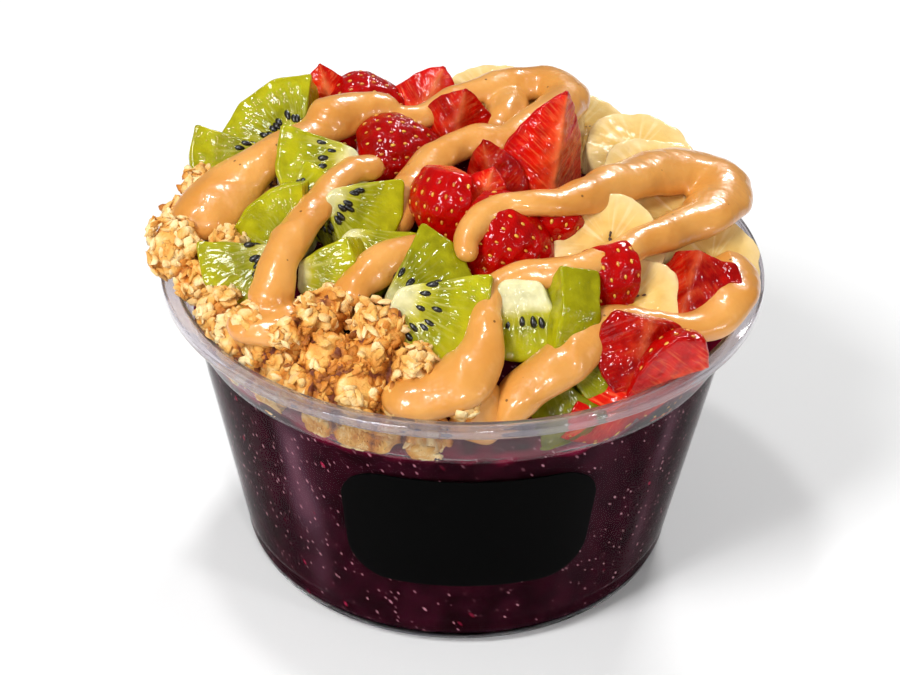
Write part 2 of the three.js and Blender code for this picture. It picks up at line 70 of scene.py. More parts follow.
def noise(points: Array, size: float, seed: int = 0) -> Array:
    """Smooth random values on a lattice, blended across each cell by 6t^5 - 15t^4 + 10t^3.

    Args:
        points: Places, (n, 3), in millimetres.
        size: Width of a cell of the lattice, in millimetres.
        seed: Chooses another pattern.

    Returns:
        One value from -1 to 1 for each point.
    """
    cell = np.asarray(points, dtype=float) / size + 1000.5
    base = np.floor(cell).astype(np.int64)
    share = cell - base
    share = share**3 * (share * (share * 6 - 15) + 10)
    total = np.zeros(len(cell))
    for corner in np.ndindex(2, 2, 2):
        place = base + np.array(corner)
        mixed = place[:, 0] * 374761393 + place[:, 1] * 668265263 + place[:, 2] * 1274126177 + seed * 97531
        mixed = (mixed & 0xFFFFFFFF).astype(np.uint64)
        mixed = ((mixed ^ (mixed >> np.uint64(13))) * np.uint64(1103515245)) & np.uint64(0xFFFFFFFF)
        value = ((mixed ^ (mixed >> np.uint64(16))) & np.uint64(0xFFFF)).astype(float) / 32767.5 - 1
        weight = np.prod(np.where(corner, share, 1 - share), axis=1)
        total += value * weight
    return total


def lengths(vectors: Array) -> Array:
    """Length of each vector along the last axis, kept as a last axis of one."""
    return np.maximum(np.linalg.norm(vectors, axis=-1, keepdims=True), 1e-9)


@dataclass
class Skin:
    """A closed skin of triangles in millimetres, with the values that its material reads at each point.

    Attributes:
        points: Places, (n, 3).
        faces: Corners of each triangle, (m, 3).
        marks: Named values, (n,) or (n, 3).
    """

    points: Array
    faces: Array
    marks: dict[str, Array] = field(default_factory=dict)

    @classmethod
    def through(cls, rings: Array) -> "Skin":
        """Close a stack of rings: neighbours are joined by triangles, and each end by a fan to its middle.

        Args:
            rings: Places, (rings, points in a ring, 3).

        Returns:
            The skin, with its faces pointing out.
        """
        levels, count = rings.shape[:2]
        points = np.vstack([rings.reshape(-1, 3), rings[0].mean(0), rings[-1].mean(0)])
        i, j = np.meshgrid(np.arange(levels - 1), np.arange(count), indexing="ij")
        a, b = i * count + j, i * count + (j + 1) % count
        c, d = b + count, a + count
        walls = np.stack([np.stack([a, b, c], -1), np.stack([a, c, d], -1)], 2).reshape(-1, 3)
        k = np.arange(count)
        first, last = levels * count, levels * count + 1
        low = np.stack([np.full(count, first), (k + 1) % count, k], -1)
        top = (levels - 1) * count
        high = np.stack([np.full(count, last), top + k, top + (k + 1) % count], -1)
        return cls(points, np.vstack([walls, low, high])).outward()

    @classmethod
    def joined(cls, skins: Sequence["Skin"]) -> "Skin":
        """Put several skins into one, keeping the marks that the first one has."""
        starts = np.cumsum([0] + [len(s.points) for s in skins[:-1]])
        faces = np.vstack([s.faces + start for s, start in zip(skins, starts)])
        marks = {name: np.concatenate([s.marks[name] for s in skins]) for name in skins[0].marks}
        return cls(np.vstack([s.points for s in skins]), faces, marks)

    def outward(self) -> "Skin":
        """Turn the faces over if the volume that they enclose comes out negative."""
        a, b, c = (self.points[self.faces[:, k]] for k in range(3))
        if np.einsum("ij,ij->i", a, np.cross(b, c)).sum() < 0:
            self.faces = self.faces[:, ::-1]
        return self

    def normals(self) -> Array:
        """Unit normal at each point: the sum of the normals of its faces, each as long as its area."""
        a, b, c = (self.points[self.faces[:, k]] for k in range(3))
        flat = np.cross(b - a, c - a)
        total = np.zeros_like(self.points)
        for k in range(3):
            np.add.at(total, self.faces[:, k], flat)
        return total / lengths(total)

    def eased(self, rounds: int, share: float = 0.5) -> Array:
        """Places after each point is drawn towards the mean of its neighbours.

        Args:
            rounds: How often it is done.
            share: How far of the way a point goes each time.

        Returns:
            The new places, (n, 3).
        """
        edges = np.vstack([self.faces[:, [0, 1]], self.faces[:, [1, 2]], self.faces[:, [2, 0]]])
        ends = np.concatenate([edges[:, 0], edges[:, 1]])
        others = np.concatenate([edges[:, 1], edges[:, 0]])
        count = np.bincount(ends, minlength=len(self.points))[:, None]
        points = self.points
        for _ in range(rounds):
            total = np.stack([np.bincount(ends, points[others, k], len(points)) for k in range(3)], -1)
            points = points + share * (total / np.maximum(count, 1) - points)
        return points

    def hollowness(self, rounds: int = 6) -> Array:
        """How far each point lies inside (-) or outside (+) its smoothed surroundings, in millimetres."""
        return np.einsum("ij,ij->i", self.points - self.eased(rounds), self.normals())

    def pushed(self, distance: Array) -> "Skin":
        """Move each point along its normal by its own distance."""
        self.points = self.points + self.normals() * np.asarray(distance)[:, None]
        return self

    def piece(self, name: str, finish: bpy.types.Material, slot: str, *nodes: str) -> bpy.types.Object:
        """Make the Blender object, in metres, that stands for the named nodes.

        Args:
            name: Name of the object.
            finish: Its material.
            slot: The record's material slot; not used here.
            nodes: The nodes that it replaces.

        Returns:
            The object, with its place in its mesh.
        """
        mesh = bpy.data.meshes.new(name)
        mesh.vertices.add(len(self.points))
        mesh.vertices.foreach_set("co", (self.points * MM).astype(np.float32).ravel())
        mesh.loops.add(3 * len(self.faces))
        mesh.loops.foreach_set("vertex_index", self.faces.astype(np.int32).ravel())
        mesh.polygons.add(len(self.faces))
        mesh.polygons.foreach_set("loop_start", np.arange(0, 3 * len(self.faces), 3, dtype=np.int32))
        mesh.update(calc_edges=True)
        mesh.validate()
        mesh.shade_smooth()
        for mark, values in self.marks.items():
            kind, key = ("FLOAT_VECTOR", "vector") if values.ndim == 2 else ("FLOAT", "value")
            mesh.attributes.new(mark, kind, "POINT").data.foreach_set(key, values.astype(np.float32).ravel())
        mesh.materials.append(finish)
        thing = bpy.data.objects.new(name, mesh)
        bpy.context.scene.collection.objects.link(thing)
        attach(thing, "root")
        if nodes:
            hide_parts(*nodes)
        log.info("%s: %d triangles", name, len(self.faces))
        return thing


@dataclass(frozen=True)
class Place:
    """Where a piece of fruit lies: its own +Z looks along `faces` and its +X leans towards `toward`."""

    at: Vec
    faces: Vec
    toward: Vec = (1.0, 0.0, 0.0)

    def axes(self) -> Array:
        """The piece's own X, Y and Z as rows."""
        z = np.array(self.faces, dtype=float)
        z /= np.linalg.norm(z)
        x = np.array(self.toward, dtype=float)
        x -= x.dot(z) * z
        x /= np.linalg.norm(x)
        return np.stack([x, np.cross(z, x), z])

    def carry(self, skin: Skin) -> Skin:
        """Set a skin in its place in the bowl."""
        skin.points = skin.points @ self.axes() + np.array(self.at)
        return skin


def loop_eased(outline: Array, count: int, round_off: float) -> Array:
    """Space a closed outline evenly and round its corners with a Gaussian-weighted mean along it.

    Args:
        outline: Corners, (n, 2).
        count: Points wanted.
        round_off: Half-width of the mean, in millimetres.

    Returns:
        The outline, (count, 2).
    """
    closed = np.vstack([outline, outline[:1]])
    run = np.concatenate([[0], np.cumsum(np.linalg.norm(np.diff(closed, axis=0), axis=1))])
    at = np.linspace(0, run[-1], count, endpoint=False)
    even = np.stack([np.interp(at, run, closed[:, k]) for k in range(2)], -1)
    step = run[-1] / count
    apart = np.arange(count) * step
    apart = np.minimum(apart, run[-1] - apart)
    weight = np.exp(-0.5 * (apart / max(round_off, 1e-3)) ** 2)
    weight /= weight.sum()
    return np.stack([np.fft.ifft(np.fft.fft(even[:, k]) * np.fft.fft(weight)).real for k in range(2)], -1)


def slab_rings(outline: Array, thick: float, edge: float, across: int = 12, sides: int = 7) -> Array:
    """Rings over a slab: out along its lower face, up its side with rounded edges, and in again on top.

    On the faces a ring is the outline drawn in towards its middle. At the edges it is set in by
    edge * (1 - sin a) while its height rises by edge * (1 - cos a), for a from 0 to a quarter turn.

    Args:
        outline: The slab's outline, (n, 2).
        thick: Its thickness.
        edge: Radius of its rounded edges.
        across: Rings on each face.
        sides: Rings on the side.

    Returns:
        Places, (rings, n, 3).
    """
    middle = outline.mean(0)
    out = (outline - middle) / lengths(outline - middle)
    low = -thick / 2
    rim = outline - edge * out
    rings = [(middle + t * (rim - middle), low) for t in np.linspace(0.05, 0.97, across)]
    for turn in np.linspace(0, math.pi / 2, 5):
        rings.append((outline - edge * (1 - math.sin(turn)) * out, low + edge * (1 - math.cos(turn))))
    rings += [(outline, z) for z in np.linspace(low + edge, 0, sides // 2 + 2)[1:]]
    half = [np.column_stack([flat, np.full(len(flat), z)]) for flat, z in rings]
    mirrored = [ring * [1, 1, -1] for ring in reversed(half[:-1])]
    return np.stack(half + mirrored)


def grains(centres: Array, axes: Array, sizes: Array, around: int = 8, along: int = 5) -> Skin:
    """Many small egg shapes in one skin: x = sin(v) cos(u), y = sin(v) sin(u), z = cos(v), drawn to a point.

    Args:
        centres: Middle of each grain, (n, 3).
        axes: Rows of each grain's own X, Y and Z, (n, 3, 3); its point is at +Z.
        sizes: Half-widths along them, (n, 3).
        around: Points in a ring.
        along: Rings.

    Returns:
        The grains, each closed.
    """
    v = np.linspace(0.25, math.pi - 0.25, along)
    u = np.linspace(0, 2 * math.pi, around, endpoint=False)
    taper = np.sin(v) * (1 - 0.22 * np.cos(v))
    ring = np.stack(
        [
            taper[:, None] * np.cos(u),
            taper[:, None] * np.sin(u),
            np.repeat(np.cos(v)[:, None], around, 1),
        ],
        -1,
    )
    one = Skin.through(ring)
    places = np.einsum("pk,nk,nkj->npj", one.points, sizes, axes) + centres[:, None, :]
    faces = one.faces[None] + np.arange(len(centres))[:, None, None] * len(one.points)
    return Skin(places.reshape(-1, 3), faces.reshape(-1, 3))


def remeshed(skin: Skin, voxel: float, ease: int) -> Skin:
    """Fuse overlapping skins into one with Blender's voxel remesh, then smooth it.

    Args:
        skin: The skins, overlapping.
        voxel: Size of a voxel, in millimetres.
        ease: Rounds of smoothing.

    Returns:
        One closed skin.
    """
    mesh = bpy.data.meshes.new("fusing")
    mesh.from_pydata(skin.points.tolist(), [], skin.faces.tolist())
    thing = bpy.data.objects.new("fusing", mesh)
    bpy.context.scene.collection.objects.link(thing)
    remesh = thing.modifiers.new("fuse", "REMESH")
    remesh.mode, remesh.voxel_size, remesh.adaptivity = "VOXEL", voxel, 0.0
    thing.modifiers.new("split", "TRIANGULATE")
    fused = bpy.data.meshes.new_from_object(thing.evaluated_get(bpy.context.evaluated_depsgraph_get()))
    points = np.empty(3 * len(fused.vertices), np.float32)
    fused.vertices.foreach_get("co", points)
    corners = np.empty(3 * len(fused.polygons), np.int32)
    fused.loops.foreach_get("vertex_index", corners)
    bpy.data.objects.remove(thing)
    bpy.data.meshes.remove(mesh)
    bpy.data.meshes.remove(fused)
    made = Skin(points.reshape(-1, 3).astype(float), corners.reshape(-1, 3).astype(int)).outward()
    made.points = made.eased(ease)
    return made


# ---- Finishes ---------------------------------------------------------------------------------------


def add(
    tree: bpy.types.NodeTree,
    kind: str,
    inputs: dict[str | int, object] | None = None,
    stops: Sequence[tuple[float, str]] = (),
    **settings: object,
) -> bpy.types.Node:
    """Add a node with its settings, values and links.

    Args:
        tree: The node tree.
        kind: The node's type.
        inputs: A socket to link from, or a value, for each input by name or number.
        stops: Places and hex colours of a colour ramp.
        settings: The node's own properties.

    Returns:
        The new node.
    """
    made = tree.nodes.new(kind)
    for name, value in settings.items():
        setattr(made, name, value)
    for name, value in (inputs or {}).items():
        if isinstance(value, bpy.types.NodeSocket):
            tree.links.new(value, made.inputs[name])
        else:
            made.inputs[name].default_value = value
    if stops:
        ramp = made.color_ramp.elements
        while len(ramp) > 1:
            ramp.remove(ramp[-1])
        for number, (place, code) in enumerate(stops):
            stop = ramp[0] if number == 0 else ramp.new(place)
            stop.position, stop.color = place, linear(code)
    return made


def new_material(name: str) -> tuple[bpy.types.Material, bpy.types.NodeTree, bpy.types.Node]:
    """Start a material.

    Args:
        name: What it is made of.

    Returns:
        The material, its node tree and its Principled shader, already joined to the output.
    """
    material = bpy.data.materials.new(name)
    material.use_nodes = True
    tree = material.node_tree
    tree.nodes.clear()
    shader = add(tree, "ShaderNodeBsdfPrincipled")
    add(tree, "ShaderNodeOutputMaterial", {"Surface": shader.outputs[0]})
    return material, tree, shader


@dataclass(frozen=True)
class WetFlesh:
    """Cut fruit flesh: translucent, with the sheen of its own juice over a finely grained cut.

    Attributes:
        name: The fruit.
        ramp: Colour from the core (0) to the skin (1).
        pale: Colour of the fibres.
        fibre_width: Width of a fibre, in millimetres.
        fibre_show: How strongly the fibres show, from 0 to 1.
        fibre_zone: Shares of the radius where the fibres begin and end.
        grain: Width of the cut's grain, in millimetres.
        relief: Height of that grain, in millimetres.
        depth: How deep light goes, in millimetres.
        wet: Strength of the film of juice.
        tint: Colour that scattered light takes.
        dark: Colour of the ripest and clearest flesh, which light sinks into, and the colour that painted
            shade darkens a piece towards.
        mottle: How much of a cut is clear like that, from 0 to 1.
        beads: Width of the beads that the juice stands in, in millimetres.
        film: Height of those beads, in millimetres.
    """

    name: str
    ramp: tuple[tuple[float, str], ...]
    pale: str
    fibre_width: float
    fibre_show: float
    fibre_zone: tuple[float, float]
    grain: float
    relief: float
    depth: float
    wet: float
    tint: Vec
    dark: str
    mottle: float
    beads: float
    film: float

    def material(self) -> bpy.types.Material:
        """Build the material, which reads the marks `share`, `fibre`, `fruit` and `deep`, the last of which
        is painted shade.

        Returns:
            The material.
        """
        material, tree, shader = new_material(self.name)
        share = add(tree, "ShaderNodeAttribute", attribute_name="share").outputs["Fac"]
        fibre = add(tree, "ShaderNodeAttribute", attribute_name="fibre").outputs["Vector"]
        fruit = add(tree, "ShaderNodeAttribute", attribute_name="fruit").outputs["Vector"]
        uneven = add(tree, "ShaderNodeTexNoise", {"Vector": fruit, "Scale": 1 / 4.5, "Detail": 3.0})
        shift = add(
            tree,
            "ShaderNodeMapRange",
            {0: uneven.outputs["Fac"], 1: 0.3, 2: 0.7, 3: -0.07, 4: 0.07},
        )
        level = add(tree, "ShaderNodeMath", {0: share, 1: shift.outputs[0]}, operation="ADD")
        base = add(tree, "ShaderNodeValToRGB", {"Fac": level.outputs[0]}, stops=self.ramp)
        strand = add(
            tree, "ShaderNodeTexNoise", {"Vector": fibre, "Scale": 1 / self.fibre_width, "Detail": 2.0}
        )
        lines = add(tree, "ShaderNodeMapRange", {0: strand.outputs["Fac"], 1: 0.5, 2: 0.72, 3: 0.0, 4: 1.0})
        start, end = self.fibre_zone
        inner = add(tree, "ShaderNodeMapRange", {0: share, 1: start, 2: start + 0.12, 3: 0.0, 4: 1.0})
        outer = add(tree, "ShaderNodeMapRange", {0: share, 1: end - 0.3, 2: end, 3: self.fibre_show, 4: 0.0})
        zone = add(
            tree, "ShaderNodeMath", {0: inner.outputs[0], 1: outer.outputs[0]}, operation="MULTIPLY"
        )
        show = add(
            tree, "ShaderNodeMath", {0: zone.outputs[0], 1: lines.outputs[0]}, operation="MULTIPLY"
        )
        colour = add(
            tree,
            "ShaderNodeMix",
            {0: show.outputs[0], 6: base.outputs["Color"], 7: linear(self.pale)},
            data_type="RGBA",
        )
        deep = add(tree, "ShaderNodeAttribute", attribute_name="deep").outputs["Fac"]
        mottle = add(tree, "ShaderNodeTexNoise", {"Vector": fruit, "Scale": 1 / 3.4, "Detail": 2.0})
        clear = add(
            tree,
            "ShaderNodeMapRange",
            {0: mottle.outputs["Fac"], 1: 0.4, 2: 0.68, 3: 0.0, 4: self.mottle},
        )
        # Painted shade: the piece's `deep` mark darkens it as a whole, on top of the mottle of clear flesh.
        depth = add(
            tree, "ShaderNodeMath", {0: deep, 1: clear.outputs[0]}, operation="ADD", use_clamp=True
        )
        colour = add(
            tree,
            "ShaderNodeMix",
            {0: depth.outputs[0], 6: colour.outputs[2], 7: linear(self.dark)},
            data_type="RGBA",
        )
        grain = add(tree, "ShaderNodeTexNoise", {"Vector": fruit, "Scale": 1 / self.grain, "Detail": 3.0})
        along = add(tree, "ShaderNodeMapping", {"Vector": fibre, "Scale": (1.0, 1.0, 3.2)})
        beads = add(
            tree, "ShaderNodeTexNoise", {"Vector": along.outputs[0], "Scale": 1 / self.beads, "Detail": 2.0}
        )
        bump, film = (
            add(tree, "ShaderNodeBump", {"Height": height.outputs["Fac"], "Distance": much * MM})
            for height, much in ((grain, self.relief), (beads, self.film))
        )
        rough = add(tree, "ShaderNodeMapRange", {0: grain.outputs["Fac"], 1: 0.35, 2: 0.65, 3: 0.42, 4: 0.22})
        tree.links.new(colour.outputs[2], shader.inputs["Base Color"])
        tree.links.new(bump.outputs[0], shader.inputs["Normal"])
        tree.links.new(film.outputs[0], shader.inputs["Coat Normal"])
        tree.links.new(rough.outputs[0], shader.inputs["Roughness"])
        shader.inputs["IOR"].default_value = 1.36  # sugary juice
        shader.inputs["Specular IOR Level"].default_value = 0.04
        shader.inputs["Subsurface Weight"].default_value = 0.25
        shader.inputs["Subsurface Radius"].default_value = self.tint
        shader.inputs["Subsurface Scale"].default_value = self.depth * MM
        shader.inputs["Coat Weight"].default_value = self.wet
        shader.inputs["Coat Roughness"].default_value = 0.04
        shader.inputs["Coat IOR"].default_value = 1.43
        return material


KIWI_FLESH = WetFlesh(
    name="kiwi_flesh",
    ramp=(
        (0.0, "#e2dcac"),
        (0.16, "#d8d08e"),
        (0.25, "#b8b02a"),
        (0.42, "#8a8a08"),
        (0.62, "#a6a20a"),
        (0.85, "#b8b214"),
        (1.0, "#a29c04"),
    ),
    pale="#dcd27a",
    fibre_width=0.9,
    fibre_show=0.5,
    fibre_zone=(0.1, 0.8),
    grain=0.8,
    relief=0.09,
    depth=2.0,
    wet=0.9,
    tint=(0.9, 1.0, 0.25),
    dark="#5c5a02",
    mottle=0.3,
    beads=2.2,
    film=0.9,
)

STRAWBERRY_FLESH = WetFlesh(
    name="strawberry_flesh",
    ramp=(
        (0.0, "#ee7a44"),
        (0.16, "#e8421a"),
        (0.4, "#e01a06"),
        (0.75, "#d80c04"),
        (0.93, "#c60402"),
        (1.0, "#b40201"),
    ),
    pale="#fa7440",
    fibre_width=0.7,
    fibre_show=0.75,
    fibre_zone=(0.05, 0.98),
    grain=0.8,
    relief=0.16,
    depth=1.2,
    wet=0.75,
    tint=(1.0, 0.15, 0.08),
    dark="#8e0201",
    mottle=0.45,
    beads=2.4,
    film=1.0,
)

BANANA_FLESH = WetFlesh(
    name="banana_flesh",
    ramp=(
        (0.0, "#c48a32"),
        (0.14, "#d8aa56"),
        (0.3, "#e8c476"),
        (0.5, "#e4bc6c"),
        (0.8, "#eaca84"),
        (1.0, "#f0d49a"),
    ),
    pale="#f6e0ae",
    fibre_width=1.6,
    fibre_show=0.6,
    fibre_zone=(0.15, 1.1),
    grain=1.3,
    relief=0.1,
    depth=1.5,
    wet=0.35,
    tint=(1.0, 0.8, 0.4),
    dark="#b07c30",
    mottle=0.15,
    beads=2.6,
    film=0.6,
)


@dataclass(frozen=True)
class SmallHard:
    """A seed or speck: one colour, a little uneven, and more or less glossy."""

    name: str
    light: str
    dark: str
    roughness: float
    coat: float = 0.0

    def material(self) -> bpy.types.Material:
        """Build the material, whose colour drifts over about 3 mm."""
        material, tree, shader = new_material(self.name)
        place = add(tree, "ShaderNodeTexCoord").outputs["Object"]
        drift = add(tree, "ShaderNodeTexNoise", {"Vector": place, "Scale": 1 / (3 * MM), "Detail": 1.0})
        colour = add(
            tree,
            "ShaderNodeValToRGB",
            {"Fac": drift.outputs["Fac"]},
            stops=((0.38, self.dark), (0.62, self.light)),
        )
        tree.links.new(colour.outputs["Color"], shader.inputs["Base Color"])
        shader.inputs["Roughness"].default_value = self.roughness
        shader.inputs["Coat Weight"].default_value = self.coat
        shader.inputs["Coat Roughness"].default_value = 0.08
        return material


KIWI_SEED = SmallHard("kiwi_seed", "#1c150e", "#0a0806", 0.3, 0.25)
ACHENE = SmallHard("strawberry_achene", "#e8b03c", "#c9701c", 0.35, 0.4)
BANANA_SEED = SmallHard("banana_seed", "#5a3a1c", "#2c1a0c", 0.5)


@dataclass(frozen=True)
class NutButter:
    """Smooth ground nuts and oil: opaque tan with a wet gloss, and a few dark specks of husk."""

    body: str = "#e2a252"
    deep: str = "#d48e3c"
    speck: str = "#5a3212"

    def material(self) -> bpy.types.Material:
        """Build the material: slow drifts of tone, husk specks about 0.6 mm wide and 5 mm apart."""
        material, tree, shader = new_material("nut_butter")
        place = add(tree, "ShaderNodeTexCoord").outputs["Object"]
        drift = add(tree, "ShaderNodeTexNoise", {"Vector": place, "Scale": 1 / (14 * MM), "Detail": 2.0})
        tone = add(
            tree,
            "ShaderNodeValToRGB",
            {"Fac": drift.outputs["Fac"]},
            stops=((0.35, self.deep), (0.65, self.body)),
        )
        husk = add(tree, "ShaderNodeTexVoronoi", {"Vector": place, "Scale": 1 / (5 * MM)})
        near = add(
            tree, "ShaderNodeMapRange", {0: husk.outputs["Distance"], 1: 0.05, 2: 0.075, 3: 0.8, 4: 0.0}
        )
        colour = add(
            tree,
            "ShaderNodeMix",
            {0: near.outputs[0], 6: tone.outputs["Color"], 7: linear(self.speck)},
            data_type="RGBA",
        )
        ripple = add(tree, "ShaderNodeTexNoise", {"Vector": place, "Scale": 1 / (4.5 * MM), "Detail": 2.5})
        bump = add(tree, "ShaderNodeBump", {"Height": ripple.outputs["Fac"], "Distance": 0.45 * MM})
        tree.links.new(colour.outputs[2], shader.inputs["Base Color"])
        tree.links.new(bump.outputs[0], shader.inputs["Normal"])
        tree.links.new(bump.outputs[0], shader.inputs["Coat Normal"])
        shader.inputs["Roughness"].default_value = 0.32
        shader.inputs["Subsurface Weight"].default_value = 0.15
        shader.inputs["Subsurface Radius"].default_value = (1.0, 0.5, 0.2)
        shader.inputs["Subsurface Scale"].default_value = 1.2 * MM
        shader.inputs["Coat Weight"].default_value = 0.5
        shader.inputs["Coat Roughness"].default_value = 0.07
        shader.inputs["Coat IOR"].default_value = 1.47  # nut oil
        return material


@dataclass(frozen=True)
class ToastedOats:
    """Granola: dry rolled oats baked with syrup, cream on the palest flakes, and brown in the gaps, where
    shade is painted.
    """

    # The gap colour is the painted shade in cracks and hollows.
    gap: str = "#6e2c02"
    toast: str = "#d07f22"
    baked: str = "#eab055"
    cream: str = "#fde2a8"

    def material(self) -> bpy.types.Material:
        """Build the material, which reads the mark `proud`: 0 in the gaps, where shade is painted, and 1 on
        the palest oats.
        """
        material, tree, shader = new_material("toasted_oats")
        place = add(tree, "ShaderNodeTexCoord").outputs["Object"]
        proud = add(tree, "ShaderNodeAttribute", attribute_name="proud").outputs["Fac"]
        drift = add(tree, "ShaderNodeTexNoise", {"Vector": place, "Scale": 1 / (5 * MM), "Detail": 4.0})
        sway = add(tree, "ShaderNodeMapRange", {0: drift.outputs["Fac"], 1: 0.3, 2: 0.7, 3: -0.22, 4: 0.22})
        level = add(tree, "ShaderNodeMath", {0: proud, 1: sway.outputs[0]}, operation="ADD")
        colour = add(
            tree,
            "ShaderNodeValToRGB",
            {"Fac": level.outputs[0]},
            stops=((0.08, self.gap), (0.34, self.toast), (0.58, self.baked), (0.86, self.cream)),
        )
        grit = add(tree, "ShaderNodeTexNoise", {"Vector": place, "Scale": 1 / (0.7 * MM), "Detail": 3.0})
        bump = add(tree, "ShaderNodeBump", {"Height": grit.outputs["Fac"], "Distance": 0.4 * MM})
        tree.links.new(colour.outputs["Color"], shader.inputs["Base Color"])
        tree.links.new(bump.outputs[0], shader.inputs["Normal"])
        shader.inputs["Roughness"].default_value = 0.62
        return material


@dataclass(frozen=True)
class AcaiPuree:
    """Blended frozen acai: almost black purple, flecked with pulp, crimson where it is smeared thin.

    Attributes:
        dark: Its thick body.
        light: Where more ice was blended in.
        thin: A thin smear that light comes through.
        fleck: Pulp and ice.
        shred: Shreds of berry skin.
        frost: A painted sheen in bands down the wall, where the lights' reflections would fall.
    """

    dark: str = "#1c060c"
    light: str = "#300c18"
    thin: str = "#a01240"
    fleck: str = "#b8808c"
    shred: str = "#a82444"
    frost: str = "#83596a"

    def material(self) -> bpy.types.Material:
        """Build the material: slanting flecks about 0.4 and 0.6 mm wide, and shreds of skin some 4 mm apart.

        It reads the marks `thin` and `frost`, the latter a painted sheen.

        Returns:
            The material.
        """
        material, tree, shader = new_material("acai_puree")
        place = add(tree, "ShaderNodeTexCoord").outputs["Object"]
        drift = add(tree, "ShaderNodeTexNoise", {"Vector": place, "Scale": 1 / (6 * MM), "Detail": 5.0})
        tone = add(
            tree,
            "ShaderNodeValToRGB",
            {"Fac": drift.outputs["Fac"]},
            stops=((0.35, self.dark), (0.65, self.light)),
        )
        slant = add(
            tree,
            "ShaderNodeMapping",
            {"Vector": place, "Rotation": (0.2, -0.65, 0.0), "Scale": (1.0, 1.0, 2.6)},
            vector_type="TEXTURE",
        )
        scattered = []
        sizes = ((1.3, 0.1, 0.22, 0.3), (2.4, 0.06, 0.17, 0.4), (4.4, 0.05, 0.12, 0.35))
        for apart, small, large, least in sizes:
            cells = add(tree, "ShaderNodeTexVoronoi", {"Vector": slant.outputs[0], "Scale": 1 / (apart * MM)})
            near = add(
                tree, "ShaderNodeMapRange", {0: cells.outputs["Distance"], 1: small, 2: large, 3: 1.0, 4: 0.0}
            )
            pick = add(
                tree, "ShaderNodeMapRange", {0: cells.outputs["Color"], 1: least, 2: 0.75, 3: 0.0, 4: 1.0}
            )
            show = add(
                tree, "ShaderNodeMath", {0: near.outputs[0], 1: pick.outputs[0]}, operation="MULTIPLY"
            )
            scattered.append(show.outputs[0])
        colour = tone.outputs["Color"]
        # The second layer is a painted sheen, standing in for the lights' reflections on the wall.
        layers = (
            (add(tree, "ShaderNodeAttribute", attribute_name="thin").outputs["Fac"], self.thin),
            (add(tree, "ShaderNodeAttribute", attribute_name="frost").outputs["Fac"], self.frost),
            (scattered[2], self.shred),
            (scattered[1], self.fleck),
            (scattered[0], self.fleck),
        )
        for much, shade in layers:
            mix = add(tree, "ShaderNodeMix", {0: much, 6: colour, 7: linear(shade)}, data_type="RGBA")
            colour = mix.outputs[2]
        tree.links.new(colour, shader.inputs["Base Color"])
        shader.inputs["Roughness"].default_value = 0.35
        shader.inputs["IOR"].default_value = 1.01  # it meets the wall with no air between
        return material


@dataclass(frozen=True)
class ClearPet:
    """Thermoformed PET: water-clear and glossy, with a faint drag from the mould down the wall.

    Attributes:
        name: Which part of the cup it is.
        ior: 1.5 where it is free, and less where wet puree behind the wall quenches its mirror.
        haze: How milky it is, from 0 to 1: the rim was drawn and trimmed, which whitens it.
    """

    name: str
    ior: float
    haze: float = 0.0

    def material(self) -> bpy.types.Material:
        """Build the material: glass-like, with ripples some 6 mm apart that soften its reflections."""
        material, tree, shader = new_material(self.name)
        place = add(tree, "ShaderNodeTexCoord").outputs["Object"]
        drag = add(tree, "ShaderNodeMapping", {"Vector": place, "Scale": (1.0, 1.0, 0.3)})
        wave = add(
            tree, "ShaderNodeTexNoise", {"Vector": drag.outputs[0], "Scale": 1 / (6 * MM), "Detail": 0.0}
        )
        bump = add(tree, "ShaderNodeBump", {"Height": wave.outputs["Fac"], "Distance": 0.02 * MM})
        tree.links.new(bump.outputs[0], shader.inputs["Normal"])
        shader.inputs["Base Color"].default_value = linear("#d6d0d6" if self.haze else "#fbfcfd")
        shader.inputs["Roughness"].default_value = 0.03
        shader.inputs["IOR"].default_value = self.ior
        shader.inputs["Transmission Weight"].default_value = 1.0 - self.haze
        shader.inputs["Coat Weight"].default_value = 1.0 if self.haze else 0.0
        shader.inputs["Coat Roughness"].default_value = 0.05
        return material


@dataclass(frozen=True)
class BlackLabel:
    """A satin black film label: near black, with a soft sheen and a hint of the film's texture."""

    colour: str = "#050505"

    def material(self) -> bpy.types.Material:
        """Build the material, with a fine tooth about 0.5 mm wide."""
        material, tree, shader = new_material("black_label_film")
        place = add(tree, "ShaderNodeTexCoord").outputs["Object"]
        tooth = add(tree, "ShaderNodeTexNoise", {"Vector": place, "Scale": 1 / (0.5 * MM), "Detail": 2.0})
        rough = add(tree, "ShaderNodeMapRange", {0: tooth.outputs["Fac"], 1: 0.3, 2: 0.7, 3: 0.38, 4: 0.5})
        bump = add(tree, "ShaderNodeBump", {"Height": tooth.outputs["Fac"], "Distance": 0.01 * MM})
        tree.links.new(rough.outputs[0], shader.inputs["Roughness"])
        tree.links.new(bump.outputs[0], shader.inputs["Normal"])
        shader.inputs["Base Color"].default_value = linear(self.colour)
        shader.inputs["Specular IOR Level"].default_value = 0.01
        return material


# ---- Cup, puree and label ---------------------------------------------------------------------------


